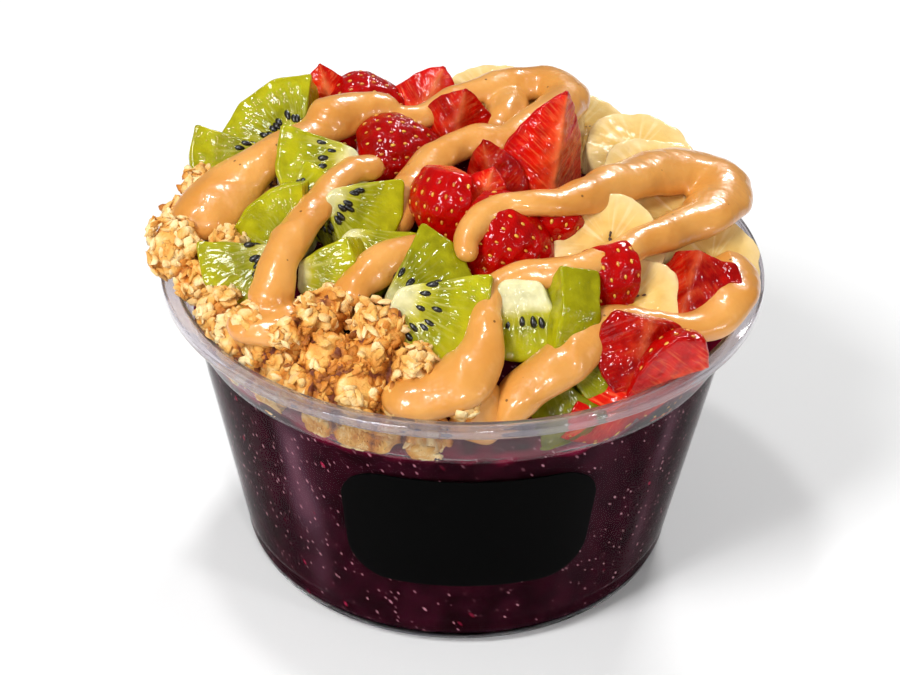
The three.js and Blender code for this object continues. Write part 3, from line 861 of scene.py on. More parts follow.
def softened(profile: Sequence[tuple[float, float]], radius: float = 0.5, steps: int = 4) -> Array:
    """Round a profile's corners: each becomes a curve (1-t)^2 a + 2t(1-t) corner + t^2 b between cut points.

    Args:
        profile: Radius and height of each corner, the first and last of which stay sharp.
        radius: How far from a corner the curve starts, at most 0.4 of a side.
        steps: Points on each curve.

    Returns:
        The rounded profile, (n, 2).
    """
    at = np.array(profile, dtype=float)
    corner, before, after = at[1:-1], at[:-2], at[2:]

    def cut(other: Array) -> Array:
        gap = lengths(other - corner)
        return corner + (other - corner) / gap * np.minimum(radius, 0.4 * gap)

    t = np.linspace(0, 1, steps)[None, :, None]
    a, b, c = cut(before)[:, None], cut(after)[:, None], corner[:, None]
    curve = (1 - t) ** 2 * a + 2 * t * (1 - t) * c + t**2 * b
    return np.vstack([at[:1], curve.reshape(-1, 2), at[-1:]])


@dataclass
class Cup:
    """The clear cup: a cone on a stepped foot, with a stacking shoulder and a turned-down rim."""

    rim_radius: float = 71.0
    height: float = 76.0
    wall: float = 0.8
    foot_radius: float = 47.2
    foot_step: float = 9.4
    foot_step_radius: float = 52.9
    shoulder: float = 62.4
    shoulder_radius: float = 63.4
    neck_radius: float = 67.3
    punt: float = 2.0
    skirt: float = 2.3
    sides: int = 192

    def outer_wall(self) -> list[tuple[float, float]]:
        """Radius and height of the wall's outside, from the foot ring to the neck under the rim."""
        reach = self.foot_step_radius - 0.35 - self.foot_radius
        corner = [
            (self.foot_radius + reach * math.sin(t * math.pi / 2), 0.4 + 8.2 * t * t)
            for t in (0.2, 0.38, 0.55, 0.78, 1.0)
        ]
        return [
            (self.foot_radius, 0.0),
            *corner,
            (self.foot_step_radius, self.foot_step),
            (self.shoulder_radius, self.shoulder),
            (self.shoulder_radius + 0.6, self.shoulder + 0.7),
            (self.neck_radius, self.height - 1.6),
        ]

    def inner_radius(self, height: Array) -> Array:
        """Radius of the wall's inside at each height."""
        wall = self.outer_wall()
        return np.interp(height, [z for _, z in wall], [r for r, _ in wall]) - self.wall

    def hold(self, skin: Skin, into_wall: float = 0.1) -> Skin:
        """Press whatever would pass through the wall back against it, easing off above the rim.

        Args:
            skin: A piece in the bowl's frame.
            into_wall: How far it may sink into the wall, so that no air shows between them.

        Returns:
            The same skin.
        """
        height = skin.points[:, 2]
        limit = self.inner_radius(np.minimum(height, self.height)) + into_wall
        limit = limit + 2.2 * np.clip(height - self.height, 0, None)
        out = np.hypot(skin.points[:, 0], skin.points[:, 1])
        skin.points[:, :2] *= np.minimum(1, limit / np.maximum(out, 1))[:, None]
        return skin

    def skin(self) -> Skin:
        """Turn the closed wall profile round the axis: x = r cos(a), y = r sin(a).

        Returns:
            The cup, joined at the middle of its base inside and out.
        """
        outer = self.outer_wall()
        flange = self.height - self.wall
        inner = [(r - self.wall, z + 0.1) for r, z in reversed(outer[5:])]
        floor = self.punt + self.wall
        profile = [
            (0.4, self.punt),
            (self.foot_radius - 4.2, self.punt),
            (self.foot_radius - 3.0, 0.0),
            *outer,
            (self.neck_radius + 0.5, flange),
            (self.rim_radius - self.wall, flange),
            (self.rim_radius - self.wall, self.height - self.skirt),
            (self.rim_radius, self.height - self.skirt),
            (self.rim_radius, self.height),
            (self.neck_radius - 0.1, self.height),
            *inner,
            (self.foot_radius - 1.2, floor),
            (0.4, floor),
        ]
        line = softened(profile)
        angle = np.linspace(0, 2 * math.pi, self.sides, endpoint=False)
        rings = np.stack(
            [
                line[:, :1] * np.cos(angle),
                line[:, :1] * np.sin(angle),
                np.repeat(line[:, 1:], self.sides, 1),
            ],
            -1,
        )
        return Skin.through(rings)

    def build(self) -> None:
        """Make the cup, whose wall below the shoulder is wet with puree on its inside."""
        cup = self.skin().piece("clear_cup", ClearPet("clear_pet_neck", 1.3).material(), "cup", "cup")
        cup.data.materials.append(ClearPet("clear_pet_wall", 1.04).material())
        cup.data.materials.append(ClearPet("clear_pet_rim", 1.25, 0.13).material())
        middles = np.empty(3 * len(cup.data.polygons))
        cup.data.polygons.foreach_get("center", middles)
        x, y, z = middles.reshape(-1, 3).T / MM
        rim = (z > self.height - self.skirt - 0.1) & (np.hypot(x, y) > self.neck_radius - 0.2)
        part = np.where(rim, 2, np.where(z < self.shoulder - 0.4, 1, 0))
        cup.data.polygons.foreach_set("material_index", part.astype(np.int32))


@dataclass
class Puree:
    """The puree that fills the cup to just under its rim, its wavy edge pressed against the wall."""

    cup: Cup
    edge: float = 65.2
    crown: float = 85.0
    into_wall: float = 0.12

    def top(self, x: Array, y: Array) -> Array:
        """Height of the top: a dome, crown - (crown - edge) s^3.4 at share s of the radius, and waves."""
        share = np.minimum(np.hypot(x, y) / 65, 1)
        dome = self.edge + (self.crown - self.edge) * (1 - share**3.4)
        dip = 2.5 * np.clip((-y - 45) / 15, 0, 1)
        return dome - dip + 1.1 * np.sin(x / 7 + 1) * np.cos(y / 8) + 0.8 * np.sin(y / 5 + x / 11)

    def skin(self) -> Skin:
        """Stack rings up the wall and in over the dome, the top ones shifted by noise.

        Returns:
            The puree.
        """
        angle = np.linspace(0, 2 * math.pi, 300, endpoint=False)
        around = np.stack([np.cos(angle), np.sin(angle)], -1)
        floor = self.cup.punt + self.cup.wall + 0.05
        rim = self.top(64 * around[:, 0], 64 * around[:, 1])
        rim = rim + 1.3 * noise(np.column_stack([64 * around, 0 * angle]), 9, 3)
        rim += 0.7 * noise(np.column_stack([64 * around, 0 * angle]), 3.4, 4)
        rings = []
        for t in np.linspace(0.1, 1, 10):
            rings.append(np.column_stack([around * t * (self.cup.foot_radius - 1.6), np.full(300, floor)]))
        for t in np.linspace(0, 1, 60)[1:]:
            z = floor + t * (rim - 0.8 - floor)
            radius = self.cup.inner_radius(z) + self.into_wall
            rings.append(np.column_stack([around * radius[:, None], z]))
        radius = self.cup.inner_radius(rim) - 0.7
        rings.append(np.column_stack([around * radius[:, None], rim]))
        for radius in np.linspace(63, 2, 40):
            flat = around * radius
            height = self.top(flat[:, 0], flat[:, 1])
            height += 0.7 * noise(np.column_stack([flat, 0 * angle]), 5, 5) * min(1, (64 - radius) / 4)
            rings.append(np.column_stack([flat, height]))
        skin = Skin.through(np.stack(rings))
        bearing = np.arctan2(skin.points[:, 1], skin.points[:, 0]) % (2 * math.pi)
        below = np.interp(bearing, angle, rim, period=2 * math.pi) - skin.points[:, 2]
        blotch = 0.5 + 0.5 * noise(skin.points, 4, 8)
        thin = np.clip(1.2 - np.abs(below) / (0.9 + 2.4 * blotch), 0, 1) * (0.35 + 0.65 * blotch)
        skin.marks["thin"] = np.maximum(thin, 0.3 * blotch * (below < -0.5))
        # Painted sheen: pale bands at fixed bearings down the wall, where the lights' reflections would fall,
        # streaked and fading towards the foot.
        streak = 0.55 + 0.45 * noise(skin.points * [1, 1, 0.3], 4.5, 9)
        frost = np.zeros(len(bearing))
        sheen_bands = ((233, 4, 0.6), (321, 3, 0.4), (300, 8, 0.1), (150, 6, 0.5), (60, 5, 0.5))
        for degrees, width, strength in sheen_bands:
            away = np.degrees(np.abs((bearing - math.radians(degrees) + math.pi) % (2 * math.pi) - math.pi))
            frost += strength * np.exp(-((away / width) ** 2))
        skin.marks["frost"] = frost * streak * np.clip(skin.points[:, 2] / 40, 0, 1)
        return skin

    def build(self) -> None:
        """Make the puree, which reaches just into the wall so that no air shows between them."""
        self.skin().piece("puree_fill", AcaiPuree().material(), "puree", "acai_puree")


@dataclass
class Label:
    """A bare label with round corners, wrapped on the cone of the wall."""

    cup: Cup
    width: float = 58.0
    height: float = 35.2
    corner: float = 10.5
    middle: float = 38.8
    turn: float = math.radians(2.6)
    thick: float = 0.25
    stand_off: float = 0.05

    def skin(self) -> Skin:
        """Bend a thin slab: across is an angle, up follows the cone, and thickness adds to the radius.

        Returns:
            The label.
        """
        half_w, half_h = self.width / 2 - self.corner, self.height / 2 - self.corner
        angle = np.linspace(0, 2 * math.pi, 160, endpoint=False)
        outline = np.stack(
            [
                half_w * np.sign(np.cos(angle)) + self.corner * np.cos(angle),
                half_h * np.sign(np.sin(angle)) + self.corner * np.sin(angle),
            ],
            -1,
        )
        outline = loop_eased(outline, 360, 0.4)
        flat = Skin.through(slab_rings(outline, self.thick, 0.08, across=24, sides=1))
        cup = self.cup
        slope = (cup.shoulder_radius - cup.foot_step_radius) / (cup.shoulder - cup.foot_step)
        arc = cup.foot_step_radius + slope * (self.middle - cup.foot_step)
        z = self.middle + 0.98 * flat.points[:, 1]
        out = flat.points[:, 2] + self.thick / 2 + self.stand_off
        radius = cup.foot_step_radius + slope * (z - cup.foot_step) + out
        bearing = flat.points[:, 0] / arc + self.turn - math.pi / 2
        flat.points = np.column_stack([radius * np.cos(bearing), radius * np.sin(bearing), z])
        return flat.outward()

    def build(self) -> None:
        """Make the label."""
        self.skin().piece("bare_label", BlackLabel().material(), "label", "label")


# ---- Fruit ------------------------------------------------------------------------------------------


@dataclass
class Wedge:
    """A sector of a round fruit, as it was cut.

    Attributes:
        place: Where it lies; its own Z is the fruit's core.
        radius: From the core to the skin.
        thick: Length along the core.
        spread: Degrees of the circle that it takes.
        deep: How far its flesh is darkened as painted shade, from 0 to 1, on pieces under the ropes or low in
            the cup.
    """

    place: Place
    radius: float
    thick: float
    spread: float
    deep: float = 0.0

    @property
    def core(self) -> float:
        """Where the core lies on the piece's own X: the piece is centred halfway to the skin."""
        return -self.radius / 2

    def arc(self, radius: float, strips: int) -> Array:
        """Corners along an arc over the piece's spread, about the core, (strips + 1, 2)."""
        half = math.radians(self.spread / 2)
        angle = np.linspace(-half, half, strips + 1)
        return radius * np.stack([np.cos(angle), np.sin(angle)], -1)

    def marked(self, skin: Skin, share: Array, slant: float) -> Skin:
        """Keep each point's place in the fruit, for the flesh to be coloured by.

        Args:
            skin: The piece in its own frame.
            share: How far each point is from core (0) to skin (1).
            slant: How far along the core a fibre runs for each millimetre outwards.

        Returns:
            The same skin, marked.
        """
        x, y, z = (skin.points - [self.core, 0, 0]).T
        out = np.hypot(x, y)
        turn = np.arctan2(y, x) * self.radius / 2
        skin.marks = {
            "share": share,
            "fruit": np.column_stack([x, y, z]),
            "fibre": np.column_stack([turn * 1.6, z - slant * out, 0.12 * out]),
            "deep": np.full(len(out), self.deep),
        }
        return skin


@dataclass
class KiwiChunk(Wedge):
    """A chunk of peeled kiwi, with its seeds in the two faces cut across the core and in the two along it.

    Attributes:
        blunt: How far from the fruit's middle it is cut off flat through the white core, in millimetres.
        white: How far the white core reaches before it starts to turn green, in millimetres.
        seeded: Whether its faces show seeds.
    """

    blunt: float = 3.0
    white: float = 1.5
    seeded: bool = True

    def skin(self, seed: int) -> Skin:
        """Make the chunk: a slab with softly rounded edges, uneven by noise 7 and 2 mm wide.

        Its outline is the sector with its point cut off flat, and peeling left flat strips on its skin.

        Args:
            seed: Chooses the unevenness.

        Returns:
            The chunk in its own frame.
        """
        end = self.arc(self.blunt, 1)
        corners = np.vstack([end[:1], self.arc(self.radius, max(2, round(self.spread / 26))), end[1:]])
        outline = loop_eased(corners + [self.core, 0], 150, 1.0)
        skin = Skin.through(slab_rings(outline, self.thick, 0.8, across=16, sides=12))
        skin.points[:, 2] *= 1 + 0.06 * skin.points[:, 0] / self.radius * math.sin(seed * 1.7)
        skin.pushed(0.45 * noise(skin.points, 7, seed) + 0.14 * noise(skin.points, 2, seed + 50))
        out = np.hypot(skin.points[:, 0] - self.core, skin.points[:, 1])
        return self.marked(skin, (out - self.white) / (self.radius - self.white), 0.0)

    def seeds(self, random: np.random.Generator, _seed: int) -> Skin:
        """Lay seeds in the cut faces, each pointing at the core and sunk by half.

        Args:
            random: Source of the scatter.
            _seed: Not needed, as the cut faces are flat.

        Returns:
            The seeds in the bowl's frame.
        """
        half = self.spread / 2 - 4
        rows = []
        for face in (-1, 1):
            turn = np.arange(-half, half, 7.5) + random.uniform(-2, 2)
            turn = np.radians(turn + random.uniform(-2.4, 2.4, len(turn)))
            out = self.white + (self.radius - self.white) * (0.27 + 0.17 * random.random(len(turn)))
            keep = random.random(len(turn)) < 0.85
            radial = np.column_stack([np.cos(turn), np.sin(turn), 0 * turn])
            middle = radial * out[:, None] + [self.core, 0, face * (self.thick / 2 - 0.05)]
            rows.append((middle[keep], radial[keep], np.tile([0, 0, face], (keep.sum(), 1))))
        for side in (-1, 1):
            turn = math.radians(self.spread / 2) * side
            height = np.arange(-self.thick / 2 + 2, self.thick / 2 - 1.5, 2.3)
            height = height + random.uniform(-0.6, 0.6, len(height))
            out = self.white + (self.radius - self.white) * (0.27 + 0.15 * random.random(len(height)))
            radial = np.tile([math.cos(turn), math.sin(turn), 0.0], (len(height), 1))
            normal = np.tile([-side * math.sin(turn), side * math.cos(turn), 0.0], (len(height), 1))
            middle = radial * out[:, None] + np.column_stack([0 * out + self.core, 0 * out, height])
            rows.append((middle, radial, normal))
        middle, radial, normal = (np.vstack(part) for part in zip(*rows))
        across = np.cross(normal, radial)
        axes = np.stack([across, normal, -radial], 1)
        sizes = np.column_stack([
            random.uniform(0.6, 0.8, len(middle)),
            random.uniform(0.45, 0.6, len(middle)),
            random.uniform(1.15, 1.5, len(middle)),
        ])
        return self.place.carry(grains(middle, axes, sizes))


@dataclass
class StrawberryPiece(Wedge):
    """A lengthwise piece of strawberry: skin with achenes outside, streaked flesh on the cuts."""

    seeded: ClassVar[bool] = True

    def reach(self, s: Array) -> Array:
        """Radius from cap (s = 0) to tip (s = 1): R sin(pi (0.2 + 0.8 s)^0.85)^0.75, never under 0.04 R."""
        wave = np.sin(math.pi * np.minimum(0.2 + 0.8 * s, 1) ** 0.85)
        return self.radius * np.maximum(np.maximum(wave, 0) ** 0.75, 0.04)

    def achene_spots(self) -> tuple[Array, Array]:
        """Staggered rows of achenes on the skin, about 3 mm apart.

        Returns:
            Share of the length and angle of each.
        """
        rows = max(3, round(self.thick * 0.95 / 3.1))
        shares, angles = [], []
        for row in range(rows):
            s = (row + 0.6) / (rows + 0.2)
            reach = float(self.reach(np.array(s)))
            gap = math.degrees(3.5 / max(reach, 1.0))
            half = self.spread / 2 - gap * 0.35
            turn = np.arange(-half + (row % 2) * gap / 2, half, gap)
            shares.append(np.full(len(turn), s))
            angles.append(np.radians(turn))
        return np.concatenate(shares), np.concatenate(angles)

    def on_skin(self, s: Array, turn: Array) -> tuple[Array, Array]:
        """Places and outward normals on the skin.

        Args:
            s: Share of the length from cap to tip.
            turn: Angle round the core.

        Returns:
            Places and unit normals, (n, 3) each.
        """
        reach = self.reach(s)
        slope = (self.reach(np.minimum(s + 0.01, 1)) - self.reach(np.maximum(s - 0.01, 0))) / (
            0.02 * self.thick
        )
        place = np.column_stack([
            self.core + reach * np.cos(turn),
            reach * np.sin(turn),
            (s - 0.5) * self.thick,
        ])
        normal = np.column_stack([np.cos(turn), np.sin(turn), -slope])
        return place, normal / lengths(normal)

    def skin(self, seed: int) -> Skin:
        """Make the piece: the sector drawn to each level's radius, closed in at cap and tip, with dimples.

        Args:
            seed: Chooses the unevenness.

        Returns:
            The piece in its own frame.
        """
        corners = np.vstack([[[0.0, 0.0]], self.arc(self.radius, 40)]) + [self.core, 0]
        outline = loop_eased(corners, 124, 0.8) - [self.core, 0]
        levels = np.linspace(0, 1, max(30, round(self.thick / 0.45)))
        reach = self.reach(levels) / self.radius
        z = (levels - 0.5) * self.thick
        body = np.concatenate(
            [outline[None] * reach[:, None, None], np.repeat(z[:, None, None], len(outline), 1)], -1
        )
        body[:, :, 0] += self.core

        def cap(ring: Array, lift: float) -> Array:
            shares = np.array([0.93, 0.8, 0.6, 0.4, 0.2, 0.06])[:, None, None]
            middle = ring.mean(0)
            closed = middle + shares * (ring[None] - middle)
            closed[:, :, 2] += lift * np.array([0.5, 0.8, 1, 1, 1, 1])[:, None]
            return closed

        rings = np.concatenate([cap(body[0], -0.7)[::-1], body, cap(body[-1], 0.2)])
        skin = Skin.through(rings)
        s = np.clip(skin.points[:, 2] / self.thick + 0.5, 0, 1)
        out = np.hypot(skin.points[:, 0] - self.core, skin.points[:, 1])
        share = np.clip(out / np.maximum(self.reach(s), 0.5), 0, 1)
        share[s > 0.985] = 1.0
        skin_zone = np.clip((share - 0.9) / 0.06, 0, 1)
        spots, _ = self.on_skin(*self.achene_spots())
        gap = np.full(len(skin.points), 9.0)
        for spot in spots:
            gap = np.minimum(gap, np.linalg.norm(skin.points - spot, axis=1))
        dimple = -0.5 * np.exp(-((gap / 0.85) ** 2)) * skin_zone
        uneven = 0.5 * noise(skin.points, 6, seed) + 0.2 * noise(skin.points, 1.8, seed + 9)
        skin.pushed(dimple + uneven)
        self.marked(skin, share, 0.7)
        skin.marks["fibre"][:, 0] *= 0.4
        return skin

    def seeds(self, random: np.random.Generator, seed: int) -> Skin:
        """Set a flat pip in each dimple, pointing at the tip.

        Args:
            random: Source of the scatter.
            seed: The same seed as the skin's, so that they lie on it.

        Returns:
            The achenes in the bowl's frame.
        """
        s, turn = self.achene_spots()
        place, normal = self.on_skin(s, turn)
        dents = 0.5 * noise(place, 6, seed) + 0.2 * noise(place, 1.8, seed + 9) - 0.3
        place = place + normal * dents[:, None]
        along = np.array([0.0, 0.0, 1.0]) - normal * normal[:, 2:]
        along /= lengths(along)
        axes = np.stack([np.cross(normal, along), normal, along], 1)
        sizes = np.tile([0.34, 0.25, 0.55], (len(s), 1)) * random.uniform(0.85, 1.15, (len(s), 1))
        return self.place.carry(grains(place, axes, sizes))


@dataclass
class BananaSlice:
    """A round of banana: a slightly three-sided slice with a ragged edge and tiny seeds round its core."""

    place: Place
    radius: float
    thick: float = 7.5
    seeded: ClassVar[bool] = True

    def skin(self, seed: int) -> Skin:
        """Make the slice: radius R (1 + 0.03 cos 3a + 0.015 cos 5a) with nicks from noise.

        Args:
            seed: Chooses the unevenness.

        Returns:
            The slice in its own frame.
        """
        angle = np.linspace(0, 2 * math.pi, 150, endpoint=False)
        round_trip = 14 * np.column_stack([np.cos(angle), np.sin(angle), 0 * angle + seed * 7])
        radius = self.radius * (
            0.985
            + 0.025 * np.cos(3 * angle + seed)
            + 0.012 * np.cos(5 * angle + 2 * seed)
            + 0.03 * noise(round_trip, 3.2, seed)
            + 0.012 * noise(round_trip, 1.3, seed + 3)
        )
        outline = np.stack([radius * np.cos(angle), radius * np.sin(angle)], -1)
        skin = Skin.through(slab_rings(outline, self.thick, 0.55, across=22, sides=8))
        skin.pushed(0.35 * noise(skin.points, 6, seed) + 0.16 * noise(skin.points, 1.8, seed + 5))
        x, y, z = skin.points.T
        out = np.hypot(x, y)
        skin.marks = {
            "share": out / self.radius
            - 0.05 * np.cos(3 * np.arctan2(y, x) + seed) * (out < 0.5 * self.radius),
            "fruit": skin.points.copy(),
            "fibre": np.column_stack([np.cos(np.arctan2(y, x)) * 9, np.sin(np.arctan2(y, x)) * 9, 0.1 * out]),
            "deep": np.zeros(len(out)),
        }
        return skin

    def seeds(self, random: np.random.Generator, seed: int) -> Skin:
        """Three short rows of tiny seeds on each face, pointing at the core."""
        turn = np.repeat(np.arange(3) * 2 * math.pi / 3 - seed / 3, 4) + random.uniform(-0.3, 0.3, 12)
        out = self.radius * random.uniform(0.1, 0.3, 12)
        radial = np.column_stack([np.cos(turn), np.sin(turn), 0 * turn])
        both = []
        for face in (-1, 1):
            normal = np.tile([0.0, 0.0, face], (12, 1))
            axes = np.stack([np.cross(normal, radial), normal, -radial], 1)
            middle = radial * out[:, None] + normal * (self.thick / 2 - 0.05)
            both.append(grains(middle, axes, np.tile([0.28, 0.25, 0.5], (12, 1))))
        return self.place.carry(Skin.joined(both))


@dataclass
class FruitPile:
    """All the fruit, where the pile holds it."""

    # The number after a piece's spread, where given, is painted shade on pieces under the ropes or low in the
    # cup.
    kiwi: tuple[KiwiChunk, ...] = (
        KiwiChunk(Place((-55, 25, 88), (0.1, -0.8, 0.6), (-1, 0, 0)), 23, 13, 34),
        KiwiChunk(Place((-45, 37, 89), (-0.1, -0.6, 0.8), (-0.6, 0.4, 0.7)), 21, 13, 85),
        KiwiChunk(Place((-31, 6, 92), (0, -0.7, 0.7), (-0.9, -0.2, -0.3)), 25, 13, 80, blunt=6, white=6),
        KiwiChunk(Place((-35, -5, 91), (-0.2, -0.6, 0.8), (0.8, 0.3, 0.5)), 16, 12, 70, blunt=5, white=6),
        KiwiChunk(Place((-40, -9, 88), (-0.2, -0.9, 0.4), (-0.6, 0.4, 0.7)), 20, 12, 66),
        KiwiChunk(Place((-48, -19, 81), (-0.1, -0.7, 0.7), (-0.8, -0.3, -0.5)), 21, 14, 76, 0.15),
        KiwiChunk(
            Place((-30, -27, 86), (-0.3, -0.8, 0.5), (1, 0, -0.1)), 18, 13, 75, blunt=5, white=3, seeded=False
        ),
        KiwiChunk(Place((-22, -21, 86), (0.1, -0.5, 0.9), (0.7, -0.4, -0.6)), 19, 13, 80, 0.1, seeded=False),
        KiwiChunk(Place((-26, -10, 92), (0.3, -0.7, 0.6), (0.9, -0.2, -0.4)), 21, 13, 78),
        KiwiChunk(Place((-6.5, -40, 84), (-0.1, -0.8, 0.6), (0.9, -0.3, -0.4)), 25, 13, 76, blunt=4, white=4),
        KiwiChunk(Place((-9, -33, 86), (0.1, -0.6, 0.8), (0.8, 0.3, 0.4)), 23, 13, 72, 0.35),
        KiwiChunk(Place((14, -37, 87), (-0.2, -0.8, 0.5), (0, -0.6, -0.8)), 26, 13, 56, blunt=9, white=13),
        KiwiChunk(Place((22, -39, 86), (-0.9, -0.3, 0.3), (0.4, -0.8, 0.6)), 20, 10, 60, 0.2),
        KiwiChunk(Place((28, -49, 75), (0.2, -0.8, 0.6), (0.9, -0.2, -0.4)), 15, 9, 60, 0.45, seeded=False),
        KiwiChunk(Place((21, -51, 69), (-0.2, -0.8, 0.6), (0.3, -0.5, -0.8)), 18, 11, 80, 0.7, seeded=False),
    )
    strawberry: tuple[StrawberryPiece, ...] = (
        StrawberryPiece(Place((-33, 52, 86), (-0.3, 0.5, 0.8), (0, 0.8, -0.6)), 13, 24, 110),
        StrawberryPiece(Place((-22, 49, 90), (1, 0.1, 0.1), (0, -0.5, 0.9)), 12, 22, 150, 0.3),
        StrawberryPiece(Place((-10, 53, 87), (0.4, 0.5, 0.7), (0, 0.8, -0.6)), 12, 21, 150),
        StrawberryPiece(Place((-1, 33, 96), (0.2, 0.2, 1), (0, 0.7, -0.7)), 11, 16, 130, 0.35),
        StrawberryPiece(Place((-14, 21, 93), (1, 0.1, 0.1), (0, -0.6, 0.8)), 12, 22, 170, 0.5),
        StrawberryPiece(Place((19, 13, 98), (0.1, 0.3, 1), (-0.4, 0.75, -0.55)), 15, 31, 100),
        StrawberryPiece(Place((7, 7, 95), (-0.2, 0.4, 0.9), (0.3, 0.8, -0.5)), 10, 17, 110, 0.5),
        StrawberryPiece(Place((-7, -11, 93), (-0.1, -0.4, -0.9), (-0.8, -0.1, 0.6)), 11.5, 22, 170),
        StrawberryPiece(Place((4, -3, 92), (0.3, 0.5, 0.8), (0, 0.8, -0.6)), 10, 18, 120),
        StrawberryPiece(Place((12, -22, 94), (0.9, -0.3, -0.3), (0, -0.5, 0.9)), 13, 24, 180),
        StrawberryPiece(Place((21, -17, 94), (-0.2, -0.5, -0.8), (0.4, -0.8, 0.5)), 7.5, 13, 160),
        StrawberryPiece(Place((30, -34, 89), (0.3, -0.7, -0.7), (-0.7, -0.2, 0.7)), 10, 17, 180),
        StrawberryPiece(Place((52, -31, 85), (-0.3, -0.7, -0.7), (0.5, 1, 0.1)), 11.5, 19, 120, 0.6),
        StrawberryPiece(Place((38, -47, 79), (-0.2, -0.4, -0.9), (-0.3, 0.7, -0.7)), 11, 20, 150, 0.6),
        StrawberryPiece(Place((43, -46, 75), (-0.9, -0.3, -0.2), (0.5, 0.9, 0.2)), 13, 20, 180, 0.2),
        StrawberryPiece(Place((30, -56, 68), (-0.9, -0.4, -0.3), (0, 0.8, -0.6)), 9, 18, 160),
    )
    banana: tuple[BananaSlice, ...] = (
        BananaSlice(Place((7, 55, 85.5), (0, -0.3, 0.9)), 14),
        BananaSlice(Place((17, 46, 87), (0, -0.5, 0.9)), 13),
        BananaSlice(Place((28, 50, 81), (0.1, -0.3, 0.9)), 13.5),
        BananaSlice(Place((42, 34, 84), (0.1, -0.3, 1)), 13.5),
        BananaSlice(Place((45, 18, 85), (0.1, -0.3, 0.9)), 13.5),
        BananaSlice(Place((33, -18, 89), (0, -0.6, 0.8)), 13),
        BananaSlice(Place((50, 1, 85), (0.2, -0.3, 0.9)), 13.5),
        BananaSlice(Place((37, -34, 84), (0.1, -0.4, 0.9)), 12.5),
        BananaSlice(Place((56, -12, 82), (0.3, -0.6, 0.8)), 12.5),
    )

    def build(self, cup: Cup) -> None:
        """Make every piece, then the seeds of each fruit as one piece.

        Args:
            cup: The cup that holds the pile.
        """
        random = np.random.default_rng(7)
        for kind, form, pips, pieces, first, flesh, hard in (
            ("kiwi", "chunk", "kiwi_seeds", self.kiwi, 1, KIWI_FLESH, KIWI_SEED),
            ("strawberry", "cut", "strawberry_achenes", self.strawberry, 21, STRAWBERRY_FLESH, ACHENE),
            ("banana", "slice", "banana_seeds", self.banana, 41, BANANA_FLESH, BANANA_SEED),
        ):
            finish, seeds = flesh.material(), []
            for number, cut in enumerate(pieces):
                name, seed = f"{kind}_{number + 1:02d}", first + number
                cup.hold(cut.place.carry(cut.skin(seed))).piece(f"{name}_{form}", finish, kind, name)
                if cut.seeded:
                    seeds.append(cup.hold(cut.seeds(random, seed), 0.2))
            Skin.joined(seeds).piece(pips, hard.material(), kind)


# ---- Granola ----------------------------------------------------------------------------------------


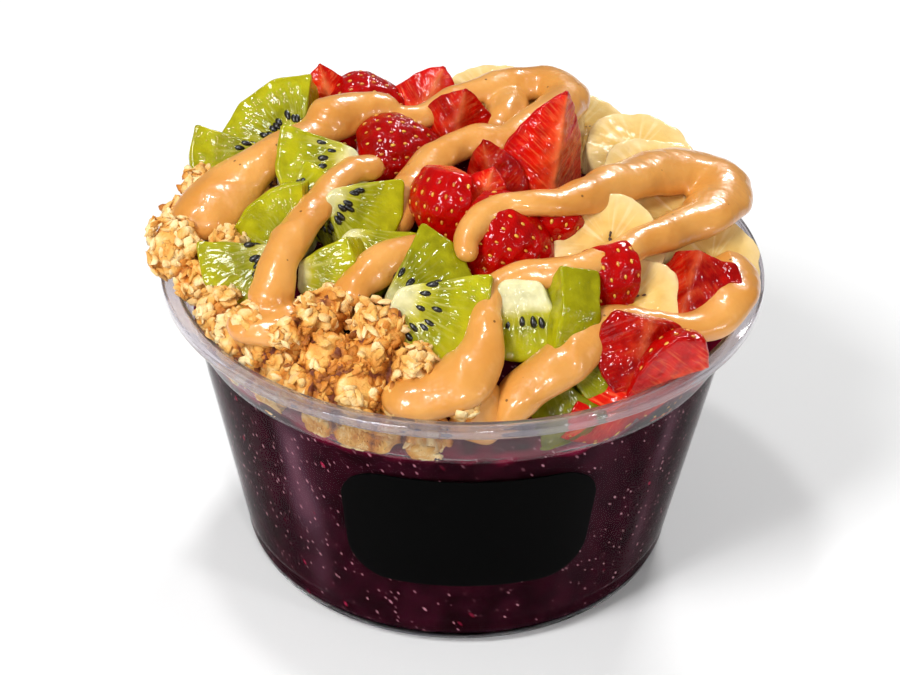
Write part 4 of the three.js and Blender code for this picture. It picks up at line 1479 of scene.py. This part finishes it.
@dataclass
class Granola:
    """The granola: clusters of baked oats heaped on a core along the left and the front of the wall."""

    clusters: tuple[tuple[float, float, float, float], ...] = (
        (-170, 67, 84, 7),
        (179, 66, 85, 4.5),
        (171, 64, 88, 4),
        (-163, 63, 79, 5),
        (-152, 62, 78, 5.5),
        (-144, 62, 77, 5.5),
        (-136, 60, 79, 6.5),
        (-129, 61, 76, 5),
        (-123, 62, 75, 5),
        (-166, 55, 86, 4.5),
        (-127, 54, 84, 7),
        (-130, 58, 82, 4.5),
        (-126, 49, 86, 5.5),
        (-121, 57, 80, 6.5),
        (-116, 58, 79, 5),
        (-113, 49, 85, 6),
        (-111, 55, 79, 6.5),
        (-109, 49, 85, 4.5),
        (-101, 55, 79, 6),
        (-112, 60, 76, 6.5),
        (-117, 61, 75, 5),
        (-102, 60, 75, 5),
        (-119, 60, 68, 6),
        (-111, 61, 67, 6),
        (-106, 60, 66, 5),
        (-97, 60, 66, 5),
        (-132, 60, 68, 6),
        (-143, 60, 69, 6),
        (140, 64, 88.5, 3),
        (-89, 62.5, 76, 2.6),
        (-137, 64, 85, 3.6),
        (-129, 61, 85, 3.8),
    )

    def core(self) -> Skin:
        """The plain heap under the clusters: a ridge along the wall from 138 to 269 degrees."""
        share = np.linspace(0, 1, 40)
        angle = np.radians(138 + share * 131)
        inner, top = 45 + 8 * share, 79 - 10 * share**2
        outer = np.full(40, 61.0)
        section = [(outer, 0 * top + 67), (outer + 1, top - 5), (outer - 3, top - 2), (inner + 2, top - 2)]
        section.append((inner, 0 * top + 67))
        rings = [
            np.column_stack([radius * np.cos(angle), radius * np.sin(angle), z]) for radius, z in section
        ]
        return Skin.through(np.stack(rings, 1))

    def centres(self) -> Array:
        """Middle and size of each cluster, (n, 4)."""
        degrees, distance, height, size = np.array(self.clusters).T
        angle = np.radians(degrees)
        return np.column_stack([distance * np.cos(angle), distance * np.sin(angle), height, size])

    def heap(self) -> Skin:
        """Fuse the core with a lumpy ball for each cluster, brown as painted shade in the cracks, the hollows
        and the bare heap between them.
        """
        skins = [self.core()]
        for x, y, z, size in self.centres():
            skins.append(grains(np.array([[x, y, z]]), np.eye(3)[None], np.full((1, 3), 0.9 * size), 12, 8))
        skin = remeshed(Skin.joined(skins), 0.7, 2)
        skin.pushed(0.6 * noise(skin.points, 3.0, 2) + 0.4 * noise(skin.points, 1.6, 3))
        # Painted shade: the bare heap between lumps, the cracks where clusters meet and the hollows are made
        # darker.
        on_lump = 1 - np.clip((self.apart(skin.points)[:, 0] - 0.95) / 0.25, 0, 1)
        baked = 0.04 + (0.48 - 0.44 * self.seam(skin.points)) * on_lump
        skin.marks["proud"] = np.clip(baked + 0.3 * skin.hollowness(8), 0, 1)
        return skin

    def apart(self, points: Array) -> Array:
        """Distance from the nearest two clusters, each as a share of the cluster's size, (n, 2)."""
        centres = self.centres()
        far = np.linalg.norm(points[:, None] - centres[None, :, :3], axis=2) / centres[None, :, 3]
        return np.sort(np.partition(far, 1, axis=1)[:, :2], axis=1)

    def seam(self, points: Array) -> Array:
        """How near each point is to the crack between two clusters: 1 where both are as near, else 0."""
        near = self.apart(points)
        return np.clip(1 - (near[:, 1] - near[:, 0]) / 0.4, 0, 1)

    def oats(self, random: np.random.Generator, heap: Skin) -> Skin:
        """Shingle each cluster with rolled oats, and strew loose ones over the bare heap between them.

        Where two clusters meet, the oats sink in and are painted darker as shade, so that each cluster stays
        a lump. The loose oats in the dips are painted darker as shade too.

        Args:
            random: Source of the scatter.
            heap: What the loose oats lie on.

        Returns:
            The oats, each with its own shade.
        """
        middles, ways, shades = [], [], []
        for x, y, z, size in self.centres():
            centre = np.array([x, y, z])
            count = int(3.6 * size**2)
            out = random.normal(size=(count, 3))
            out /= lengths(out)
            lumpy = size * (0.86 + 0.1 * random.random(count) + 0.26 * noise(centre + out * size, 3.6, 5))
            middle = centre + out * lumpy[:, None]
            shown = self.apart(middle)[:, 0] > 0.78
            middle, out, seam = middle[shown], out[shown], self.seam(middle[shown])
            middles.append(middle - out * (0.2 * size * seam)[:, None])
            ways.append(out + 0.55 * random.normal(size=out.shape))
            # Painted shade: oats in the crack between two clusters are darker.
            shades.append(np.clip(random.normal(0.68, 0.1, len(out)) - 0.42 * seam, 0.1, 1.0))
        seam = self.seam(heap.points)
        bare = ((self.apart(heap.points)[:, 0] > 0.98) | (seam > 0.4)) & (heap.points[:, 2] > 70)
        loose = random.choice(np.flatnonzero(bare), 700)
        middles.append(heap.points[loose])
        ways.append(heap.normals()[loose] + 0.35 * random.normal(size=(700, 3)))
        # Painted shade: loose oats in the dips between clusters are darker, more so at the cracks.
        shades.append(np.clip(random.normal(0.48, 0.14, 700) - 0.15 * seam[loose], 0.1, 1.0))
        return self.rolled(random, np.concatenate(middles), np.concatenate(ways), np.concatenate(shades))

    def rolled(self, random: np.random.Generator, middle: Array, way: Array, shade: Array) -> Skin:
        """Flat grains, each lying across its own way and turned at random.

        Args:
            random: Source of their turns and sizes.
            middle: Middle of each, (n, 3).
            way: What each faces, of any length, (n, 3).
            shade: How pale each is, from 0 to 1.

        Returns:
            The grains, with the mark `proud`.
        """
        count = len(middle)
        normal = way / lengths(way)
        along = np.cross(normal, random.normal(size=(count, 3)))
        along /= lengths(along)
        axes = np.stack([np.cross(normal, along), normal, along], 1)
        sizes = np.column_stack([
            random.uniform(0.9, 1.6, count),
            random.uniform(0.4, 0.7, count),
            random.uniform(1.2, 2.1, count),
        ])
        shell = grains(middle, axes, sizes, 6, 4)
        per = len(shell.points) // count
        shell.marks["proud"] = np.repeat(shade, per) + np.tile(np.linspace(-0.08, 0.08, per), count)
        return shell

    def build(self, cup: Cup) -> None:
        """Lay the oats over the heap and dent them a little.

        Args:
            cup: The cup that they are heaped against.
        """
        heap = self.heap()
        oats = self.oats(np.random.default_rng(11), heap)
        oats.points = oats.points + 0.38 * np.column_stack([noise(oats.points, 1.3, k) for k in (4, 5, 6)])
        skin = Skin.joined([heap, oats])
        cup.hold(skin).piece("granola_heap", ToastedOats().material(), "granola", "granola")


# ---- Nut butter -------------------------------------------------------------------------------------


@dataclass
class Rope:
    """A rope of nut butter: points [x, y, z, width] along its middle."""

    points: tuple[tuple[float, float, float, float], ...]

    def line(self, step: float) -> Array:
        """Pass a smooth curve through the points: between two of them each value is the cubic
        0.5 (2b + (c-a)t + (2a-5b+4c-d)t^2 + (3b-a-3c+d)t^3).

        Args:
            step: Distance between the curve's points, in millimetres.

        Returns:
            Places and widths, (n, 4).
        """
        way = np.array(self.points, dtype=float)
        padded = np.vstack([2 * way[0] - way[1], way, 2 * way[-1] - way[-2]])
        t = np.linspace(0, 1, 24, endpoint=False)[None, :, None]
        a, b, c, d = (padded[k : k + len(way) - 1, None] for k in range(4))
        curve = 0.5 * (
            2 * b + (c - a) * t + (2 * a - 5 * b + 4 * c - d) * t**2 + (3 * b - a - 3 * c + d) * t**3
        )
        curve = np.vstack([curve.reshape(-1, 4), way[-1:]])
        run = np.concatenate([[0], np.cumsum(np.linalg.norm(np.diff(curve[:, :3], axis=0), axis=1))])
        at = np.linspace(0, run[-1], max(4, round(run[-1] / step)))
        return np.stack([np.interp(at, run, curve[:, k]) for k in range(4)], -1)

    def skin(self, seed: int) -> Skin:
        """Carry a drooping oval along the curve, leaning a little by noise 14 mm long, with round ends.

        At angle a it lies cos a half-widths across, and k (sin a - 0.3 cos^2 a) up, where k is 0.78
        half-widths on a thin rope and less on a wide one, which has run flat.

        Args:
            seed: Chooses the swellings.

        Returns:
            The rope.
        """
        line = self.line(0.8)
        centre = line[:, :3]
        along = np.gradient(centre, axis=0)
        along /= lengths(along)
        side = np.column_stack([-along[:, 1], along[:, 0], 0 * along[:, 0]])
        side /= lengths(side)
        up = np.cross(along, side)
        up *= np.where(up[:, 2:] < 0, -1, 1)
        run = np.arange(len(line)) * 0.8
        ends = np.minimum(run, run[-1] - run)
        half = line[:, 3] / 2
        close = np.sqrt(np.clip(1 - np.clip(1 - ends / np.maximum(half, 1), 0, 1) ** 2, 0.02, 1))
        swell = 1.04 + 0.15 * noise(centre, 9, seed)
        centre = centre + side * 0.9 * noise(centre, 9, seed + 1)[:, None]
        lean = 0.5 * noise(centre, 12, seed + 2)[:, None]
        side, up = side * np.cos(lean) + up * np.sin(lean), up * np.cos(lean) - side * np.sin(lean)
        angle = np.linspace(0, 2 * math.pi, 32, endpoint=False)[None, :, None]
        reach = (half * close * swell)[:, None, None]
        tall = 0.78 * reach / np.sqrt(1 + (reach / 7) ** 2)
        rings = (
            centre[:, None]
            + side[:, None] * np.cos(angle) * reach
            + up[:, None] * (np.sin(angle) - 0.3 * np.cos(angle) ** 2) * tall
        )
        return Skin.through(rings)


class Drizzle(Enum):
    """The five ropes of nut butter, each with the strands that run into one another."""

    BACK = (
        Rope((
            (-65, -8, 86, 12), (-61, -3, 88, 16), (-56, 2, 91, 15), (-50, 7, 95, 12), (-44, 14, 97, 11),
            (-37, 22, 97, 9), (-29, 28, 97, 9), (-21, 32, 97, 9), (-15, 32, 96, 8), (-10, 34, 96, 8),
            (-4, 40, 97, 8), (5, 45, 97.5, 9), (13, 49, 97.5, 12), (21, 48, 97.5, 14), (25, 41, 98, 12),
            (21, 33, 98.5, 12), (16, 25, 99, 10), (10, 18, 98, 9), (3, 18, 98, 9), (-3, 15, 97, 9),
            (-9, 10, 96, 9), (-13, 3, 95, 9), (-15, -7, 93, 8), (-15, -13, 90, 7),
        )),
        Rope(((-16, 33, 98, 7), (-24, 31, 99, 9), (-31, 27, 99.5, 11), (-36, 22, 98.5, 11))),
        Rope(((7, 28, 94.5, 9), (9, 34, 95.5, 11), (11, 40, 96, 10), (13, 45, 96, 8))),
    )
    LEFT = (
        Rope((
            (-19, 6, 97, 7), (-26, 1, 98, 8), (-31, -8, 98, 9), (-35, -17, 97, 9), (-39, -25, 95, 9),
            (-41, -32, 93, 9), (-42, -38, 90, 10), (-43, -43, 87, 14),
        )),
        Rope(((-50, -39, 84, 9), (-46, -42, 84, 12), (-40, -44, 84.5, 13), (-34, -42, 85.5, 9))),
    )
    MIDDLE = (
        Rope((
            (-26, -41, 88, 9), (-24, -36, 90, 9), (-19, -31, 92, 9), (-14, -27, 93, 9), (-8, -25, 93, 9),
            (-3, -28, 93, 8),
        )),
    )
    RIGHT = (
        Rope((
            (2, -33, 95, 6), (1, -28, 98, 6), (4, -22, 100, 7), (9, -18, 101, 7), (16, -16, 101, 9),
            (22, -14, 100, 9), (28, -9.5, 99.5, 10.5), (34, -2, 98, 12), (41, 6, 96, 13.5),
            (50, 13, 93.5, 15), (58, 13, 92, 14), (60, 5, 92, 14), (56, -5, 92, 13), (50, -12, 93, 12),
            (42, -20, 94, 10), (34, -28, 95, 9),
            (26, -34, 95, 8), (19, -35, 94, 8), (12, -34, 93, 8), (7, -38, 91, 7), (5, -44, 89, 7),
            (4, -50, 86, 10), (3, -54, 82.5, 14), (-1, -57, 79.5, 17), (-7, -58, 77.5, 17),
            (-13, -58.5, 76.5, 14), (-17, -58, 76, 8),
        )),
        Rope(((2, -56, 80, 12), (3, -58, 74, 13), (3, -58, 67, 12), (3, -57, 64, 8))),
    )
    FRONT = (
        Rope((
            (62, -16, 87, 9), (61, -22, 87, 14), (58, -29, 85, 17), (54, -36, 83, 13), (48, -40, 84, 9),
            (42, -40, 85, 8), (37, -40, 86, 8), (31, -42, 86, 10), (26, -46, 84, 12), (21, -51, 81, 12),
            (15, -55, 78, 12),
            (11, -58, 74, 11), (10, -58, 69, 10),
        )),
    )

    def build(self, cup: Cup, finish: bpy.types.Material) -> None:
        """Fuse the strands, keep them inside the wall below the rim, and smooth them.

        Args:
            cup: The cup that they run down into.
            finish: The nut butter's material.
        """
        name = self.name.lower()
        skins = [rope.skin(number + 3 * len(name)) for number, rope in enumerate(self.value)]
        skin = remeshed(Skin.joined(skins), 0.55, 5)
        fold = np.exp(-((noise(skin.points, 12, 32) / 0.22) ** 2))
        skin.pushed(0.38 * noise(skin.points, 6, 31) + 0.35 * fold)
        skin.points = skin.eased(3)
        cup.hold(skin).piece(f"{name}_drizzle", finish, "nut_butter", f"nut_butter_{name}")


# ---- Studio -----------------------------------------------------------------------------------------


@dataclass
class Studio:
    """A pale floor, soft light and the camera.

    Attributes:
        eye: The camera's place, in millimetres.
        target: What it looks at.
        lens: Focal length, for a sensor 36 mm wide.
        roll: How far the camera is turned about its view, in degrees.
        lit: What the lights look at.
        sky: Strength of the white surroundings.
        lights: Name, place, width and height, and power of each softbox.
    """

    eye: Vec = (-2.56, -501.44, 381.83)
    target: Vec = (-2.56, 0.0, 53.24)
    lens: float = 99.54
    roll: float = 1.262
    lit: Vec = (0.0, 0.0, 60.0)
    sky: float = 0.15
    lights: tuple[tuple[str, Vec, tuple[float, float], float], ...] = (
        ("key", (-420, -520, 780), (270, 270), 6.6),
        ("strip_left", (-620, -620, 300), (60, 260), 1.3),
        ("strip_right", (640, -500, 420), (80, 240), 1.1),
        ("glint_front", (120, -760, 620), (90, 90), 1.3),
        ("glint_top", (-160, 60, 900), (90, 90), 1.5),
        ("back", (260, 700, 700), (260, 160), 4.4),
    )

    def hang(
        self, name: str, data: bpy.types.ID, at: Vec, target: Vec, roll: float = 0.0
    ) -> bpy.types.Object:
        """Aim a camera or light: its Z looks back from the target, and its X stays level but for the roll.

        Args:
            name: Name of the object.
            data: The camera or light.
            at: Its place, in millimetres.
            target: What it looks at, in millimetres.
            roll: How far it is turned about its view, in degrees.

        Returns:
            The object.
        """
        back = np.array(at) - np.array(target)
        back /= np.linalg.norm(back)
        right = np.cross([0, 0, 1], back)
        right /= np.linalg.norm(right)
        turn = math.radians(roll)
        rolled = math.cos(turn) * right + math.sin(turn) * np.cross(back, right)
        matrix = np.eye(4)
        matrix[:3] = np.column_stack([rolled, np.cross(back, rolled), back, np.array(at) * MM])
        thing = bpy.data.objects.new(name, data)
        thing.matrix_world = Matrix(matrix.tolist())
        bpy.context.scene.collection.objects.link(thing)
        return thing

    def camera(self) -> None:
        """Set up the camera."""
        data = bpy.data.cameras.new("camera")
        data.lens, data.sensor_width, data.clip_start = self.lens, 36.0, 0.01
        bpy.context.scene.camera = self.hang("camera", data, self.eye, self.target, self.roll)

    def softbox(self, name: str, at: Vec, size: tuple[float, float], watts: float) -> None:
        """Hang an area light that looks at the bowl.

        Args:
            name: The light's name.
            at: Its place, in millimetres.
            size: Its width and height, in millimetres.
            watts: Its power.
        """
        data = bpy.data.lights.new(name, "AREA")
        data.shape, data.size, data.size_y, data.energy = "RECTANGLE", size[0] * MM, size[1] * MM, watts
        self.hang(name, data, at, self.lit)

    def build(self) -> None:
        """Lay the floor, hang the lights and set up the camera."""
        world = bpy.data.worlds.new("studio")
        world.use_nodes = True
        sky = world.node_tree.nodes["Background"]
        sky.inputs["Color"].default_value = linear("#ffffff")
        sky.inputs["Strength"].default_value = self.sky
        bpy.context.scene.world = world
        bpy.context.scene.view_settings.view_transform = "Standard"
        for light in self.lights:
            self.softbox(*light)
        floor = bpy.data.meshes.new("floor")
        corners = [(-4, -4, 0), (4, -4, 0), (4, 4, 0), (-4, 4, 0)]
        floor.from_pydata(corners, [], [(0, 1, 2, 3)])
        material, _, shader = new_material("pale_floor")
        shader.inputs["Base Color"].default_value = linear("#fbfbfb")
        shader.inputs["Roughness"].default_value = 0.9
        floor.materials.append(material)
        thing = bpy.data.objects.new("floor", floor)
        bpy.context.scene.collection.objects.link(thing)
        self.camera()


def main() -> None:
    """Build the bowl from the cup up, then the studio."""
    logging.basicConfig(level=logging.INFO, format="%(message)s")
    cup = Cup()
    cup.build()
    Puree(cup).build()
    Label(cup).build()
    FruitPile().build(cup)
    Granola().build(cup)
    butter = NutButter().material()
    for rope in Drizzle:
        rope.build(cup, butter)
    Studio().build()


if __name__ == "__main__":
    main()
